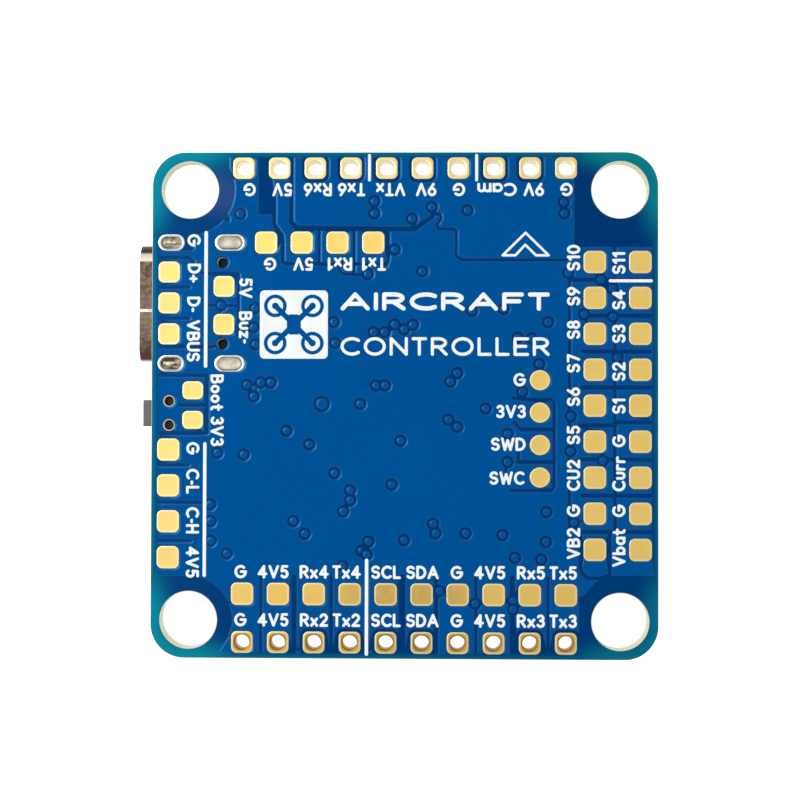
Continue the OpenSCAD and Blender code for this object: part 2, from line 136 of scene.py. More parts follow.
class Field:
    """Distances to a drawn region on a square grid: negative inside it."""

    def __init__(self, lo, hi, step):
        self.step = step
        self.lo = np.array(lo, float)
        nx = int(round((hi[0] - lo[0]) / step)) + 1
        ny = int(round((hi[1] - lo[1]) / step)) + 1
        self.x = lo[0] + step * np.arange(nx)
        self.y = lo[1] + step * np.arange(ny)
        self.d = np.full((ny, nx), FAR)

    def window(self, x0, y0, x1, y1, reach=0.4):
        i0 = max(0, int((x0 - reach - self.lo[0]) / self.step))
        i1 = min(len(self.x), int((x1 + reach - self.lo[0]) / self.step) + 2)
        j0 = max(0, int((y0 - reach - self.lo[1]) / self.step))
        j1 = min(len(self.y), int((y1 + reach - self.lo[1]) / self.step) + 2)
        if i1 <= i0 or j1 <= j0:
            return None
        return slice(j0, j1), slice(i0, i1)

    def apply(self, shape, cut=False):
        (x0, y0, x1, y1), distance = shape
        w = self.window(x0, y0, x1, y1)
        if w is None:
            return
        d = distance(self.x[None, w[1]], self.y[w[0], None])
        if cut:
            self.d[w] = np.maximum(self.d[w], -d)
        else:
            self.d[w] = np.minimum(self.d[w], d)

    def add(self, *shapes):
        for s in shapes:
            self.apply(s)

    def cut(self, *shapes):
        for s in shapes:
            self.apply(s, cut=True)

    def at(self, points):
        """Interpolated distances at points."""
        p = (np.asarray(points, float) - self.lo) / self.step
        i = np.clip(p[:, 0].astype(int), 0, len(self.x) - 2)
        j = np.clip(p[:, 1].astype(int), 0, len(self.y) - 2)
        u = p[:, 0] - i
        v = p[:, 1] - j
        d = self.d
        return ((1 - u) * (1 - v) * d[j, i] + u * (1 - v) * d[j, i + 1]
                + (1 - u) * v * d[j + 1, i] + u * v * d[j + 1, i + 1])


def disc(x, y, r):
    return (x - r, y - r, x + r, y + r), lambda X, Y: np.hypot(X - x, Y - y) - r


def ring(x, y, r, half):
    q = r + half
    return (x - q, y - q, x + q, y + q), lambda X, Y: np.abs(np.hypot(X - x, Y - y) - r) - half


def stroke(p, q, r):
    (x0, y0), (x1, y1) = p, q
    dx, dy = x1 - x0, y1 - y0
    n = max(dx * dx + dy * dy, 1e-12)

    def distance(X, Y):
        t = np.clip(((X - x0) * dx + (Y - y0) * dy) / n, 0, 1)
        return np.hypot(X - x0 - t * dx, Y - y0 - t * dy) - r
    return (min(x0, x1) - r, min(y0, y1) - r, max(x0, x1) + r, max(y0, y1) + r), distance


def path(points, width):
    return [stroke(points[k], points[k + 1], width / 2) for k in range(len(points) - 1)]


def slab(x0, y0, x1, y1, r=0.0):
    """A rectangle with rounded corners."""
    cx, cy = (x0 + x1) / 2, (y0 + y1) / 2
    hx, hy = (x1 - x0) / 2 - r, (y1 - y0) / 2 - r

    def distance(X, Y):
        u = np.abs(X - cx) - hx
        v = np.abs(Y - cy) - hy
        return np.hypot(np.maximum(u, 0), np.maximum(v, 0)) + np.minimum(np.maximum(u, v), 0) - r
    return (x0, y0, x1, y1), distance


def region(points):
    """A filled polygon."""
    pts = np.array(points, float)

    def distance(X, Y):
        X, Y = np.broadcast_arrays(X, Y)
        best = np.full(X.shape, 1e9)
        inside = np.zeros(X.shape, bool)
        for k in range(len(pts)):
            ax, ay = pts[k]
            bx, by = pts[(k + 1) % len(pts)]
            dx, dy = bx - ax, by - ay
            t = np.clip(((X - ax) * dx + (Y - ay) * dy) / (dx * dx + dy * dy), 0, 1)
            best = np.minimum(best, np.hypot(X - ax - t * dx, Y - ay - t * dy))
            if ay != by:
                crosses = ((ay > Y) != (by > Y)) & (X < (bx - ax) * (Y - ay) / (by - ay) + ax)
                inside ^= crosses
        return np.where(inside, -best, best)
    return (pts[:, 0].min(), pts[:, 1].min(), pts[:, 0].max(), pts[:, 1].max()), distance


def thin(loop, tolerance):
    """Drops the points of a closed loop that lie within tolerance of the line through the rest."""
    n = len(loop)
    if n < 8:
        return loop
    far = int(np.argmax(np.hypot(*(loop - loop[0]).T)))
    keep = {0, far}
    stack = [(0, far), (far, n)]
    closed = np.vstack([loop, loop[:1]])
    while stack:
        a, b = stack.pop()
        if b - a < 2:
            continue
        p, q = closed[a], closed[b]
        d = q - p
        length = math.hypot(*d)
        mid = closed[a + 1:b]
        if length < 1e-9:
            off = np.hypot(*(mid - p).T)
        else:
            off = np.abs((mid[:, 0] - p[0]) * d[1] - (mid[:, 1] - p[1]) * d[0]) / length
        k = int(np.argmax(off))
        if off[k] > tolerance:
            keep.add(a + 1 + k)
            stack += [(a, a + 1 + k), (a + 1 + k, b)]
    return loop[sorted(k for k in keep if k < n)]


# For each corner pattern of a cell: the edges where its outline enters and leaves, region on the left
CELL = {1: ["BL"], 2: ["RB"], 3: ["RL"], 4: ["TR"], 6: ["TB"], 7: ["TL"], 8: ["LT"], 9: ["BT"],
        11: ["RT"], 12: ["LR"], 13: ["BR"], 14: ["LB"]}
CELL_SPLIT = {(5, 0): ["BL", "TR"], (5, 1): ["BR", "TL"], (10, 0): ["RB", "LT"], (10, 1): ["LB", "RT"]}


def outlines(field, level, tolerance=0.005):
    """Closed loops where the field crosses level."""
    f = field.d - level
    ny, nx = f.shape
    s = f < 0
    case = s[:-1, :-1] * 1 + s[:-1, 1:] * 2 + s[1:, 1:] * 4 + s[1:, :-1] * 8
    middle = (f[:-1, :-1] + f[:-1, 1:] + f[1:, 1:] + f[1:, :-1]) < 0
    following = {}

    def edge_ids(side, j, i):
        if side == "B":
            return 2 * (j * nx + i)
        if side == "T":
            return 2 * ((j + 1) * nx + i)
        if side == "L":
            return 2 * (j * nx + i) + 1
        return 2 * (j * nx + i + 1) + 1

    def collect(mask, pairs):
        j, i = np.nonzero(mask)
        if len(j):
            for pair in pairs:
                following.update(zip(edge_ids(pair[0], j, i).tolist(), edge_ids(pair[1], j, i).tolist()))

    for pattern, pairs in CELL.items():
        collect(case == pattern, pairs)
    for (pattern, joined), pairs in CELL_SPLIT.items():
        collect((case == pattern) & (middle == bool(joined)), pairs)
    loops = []
    while following:
        start, nxt = following.popitem()
        ids = [start]
        while nxt != start:
            ids.append(nxt)
            nxt = following.pop(nxt, start)
        ids = np.array(ids)
        cell, upright = ids // 2, ids % 2
        j, i = cell // nx, cell % nx
        a = f[j, i]
        b = f[np.minimum(j + upright, ny - 1), np.minimum(i + 1 - upright, nx - 1)]
        t = a / (a - b)
        pts = np.stack([field.x[i] + (1 - upright) * t * field.step,
                        field.y[j] + upright * t * field.step], 1)
        step = np.hypot(*(pts - np.roll(pts, 1, 0)).T)
        pts = pts[step > 3e-4]
        if len(pts) > 5:
            loops.append(thin(pts, tolerance))
    return [p for p in loops if len(p) >= 3]


def triangulated(loops):
    """(points, triangles, where each input point went) of the plane round constraint loops."""
    points, edges = [], []
    for loop in loops:
        base, n = len(points), len(loop)
        points += [Vector((float(p[0]), float(p[1]))) for p in loop]
        edges += [(base + k, base + (k + 1) % n) for k in range(n)]
    out = delaunay_2d_cdt(points, edges, [], 0, 1e-6)
    co = np.array([tuple(p) for p in out[0]])
    tri = np.array([tuple(t) for t in out[2]], int)
    goes = np.full(len(points), -1)
    for k, origins in enumerate(out[3]):
        for o in origins:
            goes[o] = k
    a, b, c = co[tri[:, 0]], co[tri[:, 1]], co[tri[:, 2]]
    area = (b[:, 0] - a[:, 0]) * (c[:, 1] - a[:, 1]) - (b[:, 1] - a[:, 1]) * (c[:, 0] - a[:, 0])
    tri[area < 0] = tri[area < 0][:, ::-1]
    return co, tri[np.abs(area) > 1e-9], goes


# ---------------------------------------------------------------- meshes

class Build:
    """Collects vertices and faces in millimetres."""

    def __init__(self):
        self.v = []
        self.f = []
        self.tone = []

    def ring(self, points, tone=0.0):
        base = len(self.v)
        self.v += [tuple(p) for p in points]
        self.tone += [tone] * len(points)
        return list(range(base, base + len(points)))

    def band(self, a, b):
        n = len(a)
        for k in range(n):
            self.f.append((a[k], a[(k + 1) % n], b[(k + 1) % n], b[k]))

    def cap(self, ids):
        self.f.append(tuple(ids))


def finish_object(name, verts, faces, materials, rides="board", indices=None, smooth=35.0, tones=None):
    mesh = bpy.data.meshes.new(name)
    mesh.from_pydata([tuple(c * MM for c in v) for v in verts], [], [tuple(map(int, f)) for f in faces])
    for m in materials:
        mesh.materials.append(m)
    if indices is not None:
        mesh.polygons.foreach_set("material_index", list(map(int, indices)))
    if tones:
        mesh.attributes.new("tone", "FLOAT", "POINT").data.foreach_set("value", tones)
    mesh.update()
    mesh.polygons.foreach_set("use_smooth", [True] * len(mesh.polygons))
    mesh.set_sharp_from_angle(angle=math.radians(smooth))
    obj = bpy.data.objects.new(name, mesh)
    bpy.context.scene.collection.objects.link(obj)
    if rides:
        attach(obj, rides)
    return obj


def rounded(cx, cy, w, h, r, per_corner=6):
    """Points round a rectangle with rounded corners, anticlockwise."""
    r = min(r, w / 2 - 1e-4, h / 2 - 1e-4)
    pts = []
    for sx, sy, a0 in ((1, 1, 0), (-1, 1, 90), (-1, -1, 180), (1, -1, 270)):
        for k in range(per_corner + 1):
            a = math.radians(a0 + 90 * k / per_corner)
            pts.append((cx + sx * (w / 2 - r) + r * math.cos(a), cy + sy * (h / 2 - r) + r * math.sin(a)))
    return pts


def circle(cx, cy, r, n=48):
    return [(cx + r * math.cos(2 * math.pi * k / n), cy + r * math.sin(2 * math.pi * k / n))
            for k in range(n)]


def lifted(points, z):
    return [(p[0], p[1], z) for p in points]


def stacked(build, rings, tones=None):
    """Joins rings of equal length in order, and closes both ends."""
    ids = [build.ring(r, tones[k] if tones else 0.0) for k, r in enumerate(rings)]
    build.cap(ids[0][::-1])
    for a, b in zip(ids, ids[1:]):
        build.band(a, b)
    build.cap(ids[-1])


# ---------------------------------------------------------------- materials

class Shader:
    """A few lines of node building, so that each material reads as one recipe."""

    def __init__(self, name):
        self.mat = bpy.data.materials.new(name)
        self.mat.use_nodes = True
        self.t = self.mat.node_tree
        self.t.nodes.clear()
        self.out = self.t.nodes.new("ShaderNodeOutputMaterial")
        self.bsdf = self.t.nodes.new("ShaderNodeBsdfPrincipled")
        self.t.links.new(self.bsdf.outputs[0], self.out.inputs[0])
        self.coord = self.t.nodes.new("ShaderNodeTexCoord")

    def link(self, source, target):
        if isinstance(source, (int, float)):
            target.default_value = source
        elif isinstance(source, (tuple, list)):
            alpha = (1.0,) if len(source) == 3 and target.type == "RGBA" else ()
            target.default_value = tuple(source) + alpha
        else:
            self.t.links.new(source, target)

    def noise(self, scale, detail=3.0, rough=0.55, stretch=(1, 1, 1)):
        m = self.t.nodes.new("ShaderNodeMapping")
        m.inputs["Scale"].default_value = stretch
        self.t.links.new(self.coord.outputs["Object"], m.inputs[0])
        n = self.t.nodes.new("ShaderNodeTexNoise")
        n.inputs["Scale"].default_value = scale
        n.inputs["Detail"].default_value = detail
        n.inputs["Roughness"].default_value = rough
        self.t.links.new(m.outputs[0], n.inputs["Vector"])
        return n.outputs["Fac"]

    def math(self, op, a, b=0.0):
        n = self.t.nodes.new("ShaderNodeMath")
        n.operation = op
        self.link(a, n.inputs[0])
        self.link(b, n.inputs[1])
        return n.outputs[0]

    def span(self, value, a, b, c=0.0, d=1.0, smooth=False):
        n = self.t.nodes.new("ShaderNodeMapRange")
        n.interpolation_type = "SMOOTHSTEP" if smooth else "LINEAR"
        for k, x in enumerate((value, a, b, c, d)):
            self.link(x, n.inputs[k])
        return n.outputs[0]

    def mix(self, factor, a, b):
        n = self.t.nodes.new("ShaderNodeMix")
        n.data_type = "RGBA"
        self.link(factor, n.inputs[0])
        self.link(a, n.inputs[6])
        self.link(b, n.inputs[7])
        return n.outputs[2]

    def place(self):
        n = self.t.nodes.new("ShaderNodeSeparateXYZ")
        self.t.links.new(self.coord.outputs["Object"], n.inputs[0])
        return n.outputs

    def upward(self):
        """How far the surface faces +Z."""
        split = self.t.nodes.new("ShaderNodeSeparateXYZ")
        self.t.links.new(self.t.nodes.new("ShaderNodeNewGeometry").outputs["Normal"], split.inputs[0])
        return split.outputs[2]

    def near(self, centre, inner, outer):
        """1 within inner millimetres of an upright line at centre, falling to 0 at outer."""
        x, y, _ = self.place()
        dx = self.math("SUBTRACT", x, centre[0] * MM)
        dy = self.math("SUBTRACT", y, centre[1] * MM)
        squares = self.math("ADD", self.math("MULTIPLY", dx, dx), self.math("MULTIPLY", dy, dy))
        away = self.math("SQRT", squares)
        return self.span(away, inner * MM, outer * MM, 1.0, 0.0, smooth=True)

    def attribute(self, name):
        n = self.t.nodes.new("ShaderNodeAttribute")
        n.attribute_name = name
        return n.outputs["Fac"]

    def bump(self, height, strength, distance):
        n = self.t.nodes.new("ShaderNodeBump")
        n.inputs["Strength"].default_value = strength
        n.inputs["Distance"].default_value = distance
        self.t.links.new(height, n.inputs["Height"])
        self.t.links.new(n.outputs[0], self.bsdf.inputs["Normal"])

    def set(self, **values):
        for key, value in values.items():
            self.link(value, self.bsdf.inputs[key.replace("_", " ")])
        return self


def linear(r, g, b):
    """A colour written as 0 to 255 display values, in the shader's linear scale."""
    def one(c):
        c /= 255
        return c / 12.92 if c <= 0.04045 else ((c + 0.055) / 1.055) ** 2.4
    return (one(r), one(g), one(b))


def speckled(name, dark, light, scale, metallic=0.0, roughness=(0.4, 0.6), bump=0.0,
             bump_scale=None, stretch=(1, 1, 1), specular=None):
    """A colour that drifts between two tones, with roughness that drifts too."""
    s = Shader(name)
    n = s.noise(scale, stretch=stretch)
    fine = s.noise(bump_scale or scale * 4, 2.0, stretch=stretch)
    s.set(Base_Color=s.mix(s.span(n, 0.35, 0.65), linear(*dark), linear(*light)), Metallic=metallic,
          Roughness=s.span(fine, 0.3, 0.7, roughness[0], roughness[1]))
    if specular is not None:
        s.bsdf.inputs["Specular IOR Level"].default_value = specular
    if bump:
        s.bump(fine, bump, 0.00002)
    return s.mat


def solder_mask():
    """Blue mask: lighter over copper, navy over bare laminate, and a painted teal glow where light enters at
    an edge.
    """
    s = Shader("solder_mask")
    x, y, _ = s.place()
    copper = s.attribute("copper")
    cloud = s.noise(90, 3.0)
    over_copper = s.mix(s.span(cloud, 0.3, 0.7), linear(0, 78, 148), linear(0, 82, 153))
    over_void = s.mix(s.span(cloud, 0.3, 0.7), linear(0, 49, 108), linear(1, 55, 116))
    # a violet tint over the void beside the rear left hole, fading out by 2.3 mm
    near = s.near((-13.1, 15.0), 0.6, 2.3)
    over_void = s.mix(s.math("MULTIPLY", near, 0.6), over_void, linear(58, 78, 138))
    left = s.span(x, -9 * MM, -17 * MM, 0.0, 0.3)
    over_void = s.mix(left, over_void, linear(20, 78, 140))
    base = s.mix(copper, over_void, over_copper)
    ax = s.math("ABSOLUTE", x)
    ay = s.math("ABSOLUTE", y)
    reach = s.math("MAXIMUM", ax, ay)
    corner = s.math("ADD", ax, ay)
    edge = s.span(reach, (HALF - 0.55) * MM, (HALF - 0.05) * MM, 0.0, 0.48, smooth=True)
    broad = s.span(reach, (HALF - 2.2) * MM, (HALF - 0.1) * MM, 0.0, 1.0, smooth=True)
    toward_corner = s.span(corner, 28.0 * MM, 32.5 * MM, 0.0, 0.95, smooth=True)
    far_corner = s.span(corner, 30.8 * MM, 34.6 * MM, 0.0, 1.0, smooth=True)
    rim = s.math("MAXIMUM", edge, s.math("MULTIPLY", broad, toward_corner))
    rim = s.math("MAXIMUM", rim, far_corner)
    # painted light: the teal edge glow is strongest towards the upper left, where the lamp is, and fades
    # towards the lower right
    rim = s.math("MULTIPLY", rim, s.span(s.math("SUBTRACT", y, x), -32 * MM, 4 * MM, 0.62, 1.0))
    rim = s.math("MULTIPLY", rim, s.math("SUBTRACT", 1.0, s.math("MULTIPLY", copper, 0.8)))
    edge_glow_tone = s.mix(s.span(x, -16 * MM, 16 * MM), linear(13, 141, 157), linear(13, 131, 141))
    fine = s.noise(2600, 2.0)
    s.set(Base_Color=s.mix(rim, base, edge_glow_tone), Roughness=s.span(fine, 0.3, 0.7, 0.26, 0.34))
    # the mask is thinnest and glossiest where it runs over an edge of copper
    slope = s.math("MULTIPLY", s.math("MULTIPLY", copper, s.math("SUBTRACT", 1.0, copper)), 4.0)
    s.link(s.span(slope, 0.0, 1.0, 0.45, 1.0), s.bsdf.inputs["Specular IOR Level"])
    s.link(s.mix(slope, (0.0, 0.32, 0.75), (0.16, 0.5, 0.85)), s.bsdf.inputs["Specular Tint"])
    s.bump(s.noise(1500, 2.0), 0.05, 0.00001)
    return s.mat


def gold_plate():
    """Gold over nickel, with a painted highlight on the rolled edge of a pad and painted shade and light on
    the lip of a hole.
    """
    s = Shader("gold_plate")
    n = s.noise(900)
    tone = s.attribute("tone")
    x, y, _ = s.place()
    body = s.mix(s.span(n, 0.3, 0.7), linear(247, 212, 120), linear(251, 217, 126))
    # painted shade: the pads darken towards the front edge
    body = s.mix(s.span(y, -16 * MM, -9 * MM, 0.85, 0.0), body, linear(232, 192, 98))
    # painted shade: the left-hand pads, which the lamp lights most, get a duller tone
    left = s.mix(s.span(y, -4 * MM, 6 * MM), linear(240, 211, 128), linear(239, 202, 122))
    body = s.mix(s.span(x, -14.5 * MM, -10.5 * MM, 1.0, 0.0), body, left)
    # painted shade darkens the pads round the front middle; the paler scuffs there are wear
    front_middle_shade_and_scuffs = s.near((0.2, -13.4), 2.6, 6.2)
    scuff = s.noise(1900, 4.0, 0.7)
    body = s.mix(s.math("MULTIPLY", front_middle_shade_and_scuffs, 0.62), body, linear(196, 160, 88))
    scuffed = s.math("MULTIPLY", front_middle_shade_and_scuffs, s.span(scuff, 0.5, 0.66, 0.0, 0.3))
    body = s.mix(scuffed, body, linear(238, 212, 158))
    # painted highlight: a positive tone pales the rolled edge of each pad and land
    pale = s.math("MULTIPLY", s.math("MAXIMUM", tone, 0.0), 0.85)
    # painted shade and light on each hole's lip: brown towards the front, cream towards the rear
    brown = s.math("MAXIMUM", s.math("MULTIPLY", tone, -1.0), 0.0)
    hole_lip_shade_and_light = s.mix(s.span(y, -16 * MM, 16 * MM), linear(168, 130, 66), linear(255, 246, 216))
    base = s.mix(pale, body, linear(252, 240, 190))
    base = s.mix(brown, base, hole_lip_shade_and_light)
    fine = s.noise(3500, 2.0)
    s.set(Base_Color=base, Metallic=1.0, Roughness=s.span(fine, 0.3, 0.7, 0.42, 0.5))
    s.bump(fine, 0.06, 0.00002)
    return s.mat


SHELL_PAINTED_LIGHT_BANDS = [  # painted reflections and painted shade: where across the shell, half its width, tone, strength
    (4.05, 0.22, (62, 48, 36), 0.9), (3.42, 0.3, (246, 236, 224), 0.9), (-3.72, 0.28, (104, 62, 54), 0.8),
    (-4.37, 0.35, (250, 248, 246), 1.0), (4.45, 0.16, (240, 236, 230), 0.8),
    (-0.43, 0.1, (250, 236, 214), 1.0)]


def shell_steel():
    """The stamped shell: brown mottling with bands of painted reflection and painted shade on its upward
    faces, clean steel elsewhere, brown mottled legs.
    """
    s = Shader("shell_steel")
    _, y, z = s.place()
    lo, hi = box_mm("usb_shell")
    middle = (lo[1] + hi[1]) / 2
    grain = s.noise(2600, 4.0, 0.7, stretch=(1, 1.6, 1.6))
    drift = s.noise(260, 2.0)
    base = s.mix(s.span(grain, 0.4, 0.62), linear(44, 34, 26), linear(118, 100, 86))
    base = s.mix(s.span(drift, 0.4, 0.75, 0.0, 0.35), base, linear(150, 134, 120))
    # each band paints a reflection or a shade across the shell
    for across, half, tone, amount in SHELL_PAINTED_LIGHT_BANDS:
        away = s.math("ABSOLUTE", s.math("SUBTRACT", y, float(middle + across) * MM))
        band = s.span(away, half * 0.6 * MM, half * 1.3 * MM, amount, 0.0, smooth=True)
        base = s.mix(band, base, linear(*tone))
    fine = s.noise(5000, 2.0, 0.6, stretch=(0.12, 1, 1))
    clean = s.mix(s.span(fine, 0.3, 0.7), linear(178, 176, 172), linear(200, 198, 194))
    # the brown mottling and its painted bands cover only the upward faces of the half nearer the board
    waist = (lo[2] - BOARD_T) / 2
    high = s.span(z, (waist - 0.25) * MM, (waist + 0.1) * MM)
    topside = s.math("MULTIPLY", high, s.span(s.upward(), -0.1, 0.15))
    base = s.mix(topside, clean, base)
    leg = s.mix(s.span(grain, 0.4, 0.6), linear(92, 80, 54), linear(214, 204, 176))
    base = s.mix(s.span(z, -1.25 * MM, -1.15 * MM), base, leg)
    s.set(Base_Color=base, Metallic=0.9, Roughness=s.span(grain, 0.3, 0.7, 0.36, 0.5))
    s.bump(grain, 0.2, 0.00002)
    return s.mat


def slot_solder():
    """Solder in the shell's slots: flux-stained in the outer pair, clean in the inner pair."""
    s = Shader("slot_solder")
    x, _, _ = s.place()
    patch = s.noise(1300, 3.0)
    stained = s.mix(s.span(patch, 0.42, 0.62), linear(84, 74, 50), linear(206, 196, 172))
    clean = s.mix(s.span(patch, 0.35, 0.65), linear(178, 171, 152), linear(234, 228, 212))
    s.set(Base_Color=s.mix(s.span(x, -15 * MM, -14 * MM), stained, clean), Metallic=0.55,
          Roughness=s.span(patch, 0.3, 0.7, 0.4, 0.6))
    s.bump(patch, 0.5, 0.00004)
    return s.mat


def laminate():
    """Glass-epoxy seen on a cut face: pale straw with the weave's lines."""
    s = Shader("laminate")
    weave = s.noise(1100, 3.0, stretch=(1, 1, 12))
    s.set(Base_Color=s.mix(s.span(weave, 0.3, 0.7), linear(214, 211, 178), linear(234, 230, 202)),
          Roughness=s.span(weave, 0.3, 0.7, 0.5, 0.75))
    s.bump(weave, 0.3, 0.00002)
    return s.mat


MATERIAL = {
    "mask": solder_mask(),
    "laminate": laminate(),
    "gold": gold_plate(),
    "tinned": speckled("tinned", (216, 222, 224), (242, 246, 246), 700, metallic=1.0,
                       roughness=(0.26, 0.4), bump=0.1, bump_scale=1800),
    "slot_solder": slot_solder(),
    "solder": speckled("solder", (172, 162, 142), (214, 204, 184), 1400, metallic=1.0,
                       roughness=(0.2, 0.45), bump=0.3, bump_scale=1600),
    "shell": shell_steel(),
    "steel": speckled("steel", (176, 174, 170), (200, 198, 194), 500, metallic=1.0,
                      roughness=(0.28, 0.42), bump=0.08, bump_scale=1500, stretch=(6, 1, 1)),
    "usb_black": speckled("usb_black", (4, 4, 8), (12, 12, 18), 600, roughness=(0.55, 0.7),
                          bump=0.1, bump_scale=3000, specular=0.25),
    "button_black": speckled("button_black", (38, 29, 10), (58, 46, 18), 900, roughness=(0.5, 0.65),
                             bump=0.1, bump_scale=3000, specular=0.3),
    "plunger": speckled("plunger_plastic", (94, 90, 93), (110, 106, 109), 500, roughness=(0.4, 0.55),
                        bump=0.1, bump_scale=2500, specular=0.3),
    "chip": speckled("chip_epoxy", (27, 27, 29), (42, 42, 44), 2200, roughness=(0.5, 0.72),
                     bump=0.35, bump_scale=5200),
    "substrate": speckled("substrate", (22, 66, 40), (34, 88, 54), 1100, roughness=(0.4, 0.55),
                          bump=0.1, bump_scale=3000),
    "lid": speckled("lid_nickel", (196, 194, 186), (220, 218, 210), 420, metallic=1.0,
                    roughness=(0.18, 0.34), bump=0.05, bump_scale=2200, stretch=(5, 1, 1)),
    "ceramic": speckled("crystal_ceramic", (46, 44, 42), (66, 63, 60), 1200, roughness=(0.5, 0.7),
                        bump=0.1, bump_scale=3600),
    "inductor": speckled("inductor_powder", (62, 62, 66), (84, 84, 88), 7000, roughness=(0.55, 0.8),
                         bump=0.5, bump_scale=3200),
    "capacitor": speckled("capacitor_ceramic", (150, 116, 78), (176, 140, 98), 1500,
                          roughness=(0.35, 0.5), bump=0.1, bump_scale=3500),
    "resistor": speckled("resistor_film", (20, 20, 22), (34, 34, 38), 1600, roughness=(0.3, 0.5),
                         bump=0.1, bump_scale=3500),
    "tin": speckled("lead_tin", (188, 188, 184), (216, 216, 212), 900, metallic=1.0,
                    roughness=(0.22, 0.4), bump=0.12, bump_scale=2400),
    "led_white": speckled("led_white", (226, 226, 220), (244, 244, 240), 900, roughness=(0.4, 0.55),
                          bump=0.05, bump_scale=3000),
    "ivory": speckled("socket_ivory", (224, 215, 192), (238, 231, 212), 380, roughness=(0.42, 0.6),
                      bump=0.12, bump_scale=2400),
    "contact": speckled("contact_gold", (214, 178, 96), (238, 204, 126), 900, metallic=1.0,
                        roughness=(0.24, 0.38), bump=0.08, bump_scale=2800),
    "legend": speckled("legend_ink", (248, 254, 252), (253, 255, 254), 1200, roughness=(0.5, 0.7),
                       bump=0.2, bump_scale=4200, specular=0.2),
}


def resin():
    s = Shader("led_resin")
    n = s.noise(1400)
    s.set(Base_Color=s.mix(s.span(n, 0.3, 0.7), linear(236, 226, 160), linear(248, 240, 190)),
          Roughness=s.span(n, 0.3, 0.7, 0.12, 0.22), Transmission_Weight=0.45)
    s.bump(n, 0.05, 0.00001)
    return s.mat


MATERIAL["resin"] = resin()

# ---------------------------------------------------------------- what is on the board

ROW_X = [-11.43 + 2.54 * k for k in range(10)]
ROW_Y = 16.8
PADS = ["inner_pads_front", "inner_pads_rear", "pads_right_inner", "pads_right_outer",
        "pads_left_usb", "pads_left_can", "pads_left_boot", "test_pads"]
THROUGH = ["edge_pads_front", "edge_pads_rear"]

pad_boxes = {n: boxes(n) for n in PADS + THROUGH}
slot_boxes = boxes("usb_slot_plating")
PLATING = 0.03


def hole_walls():
    """The outer edge and each hole of the CAD board's pad face: (centre, half size)."""
    bm = node_mesh("circuit_board")
    bm.verts.ensure_lookup_table()
    top = [v for v in bm.verts if abs(v.co.z) < 1e-6]
    seen, found = set(), []
    for start in top:
        if start.index in seen:
            continue
        group, stack = [], [start]
        seen.add(start.index)
        while stack:
            v = stack.pop()
            group.append(v.co / MM)
            for e in v.link_edges:
                w = e.other_vert(v)
                flat = abs(w.co.z) < 1e-6
                wall = sum(abs(f.normal.z) < 0.5 for f in e.link_faces) == 1
                if flat and wall and w.index not in seen:
                    seen.add(w.index)
                    stack.append(w)
        pts = np.array([(p.x, p.y) for p in group])
        lo, hi = pts.min(0), pts.max(0)
        found.append(((lo + hi) / 2, (hi - lo) / 2))
    bm.free()
    return found


mounting_holes, wire_holes, peg_holes, slots = [], [], [], []
for centre, size in hole_walls():
    if size[0] > 10:
        continue
    if size[0] > 1.5:
        mounting_holes.append((centre[0], centre[1], size[0]))
    elif abs(size[0] - size[1]) > 0.05:
        slots.append((centre[0], centre[1], size[0], size[1]))
    elif abs(abs(centre[1]) - ROW_Y) < 0.2 and size[0] > 0.4:
        wire_holes.append((centre[0], centre[1], size[0]))
    else:
        peg_holes.append((centre[0], centre[1], size[0]))

# ---------------------------------------------------------------- the pad face's copper

COPPER_INSET = 0.38
Z_VOID = 0.008
Z_COPPER = 0.044
SLOPE_LOW = -0.055
SLOPE_HIGH = 0.095
COPPER_STEP = 0.04
LEGEND_STEP = 0.03

FRONT_CHANNELS = [(-10.1, 0.26), (-7.74, 0.4), (-5.12, 0.3), (-2.6, 0.3), (-0.1, 0.5), (2.3, 0.32),
                  (5.1, 0.26), (7.66, 0.4), (10.18, 0.26)]
REAR_CLEAR = [2, 3, 4, 5, 7, 8]
FRONT_CLEAR = [2, 3, 4, 5, 8, 9]

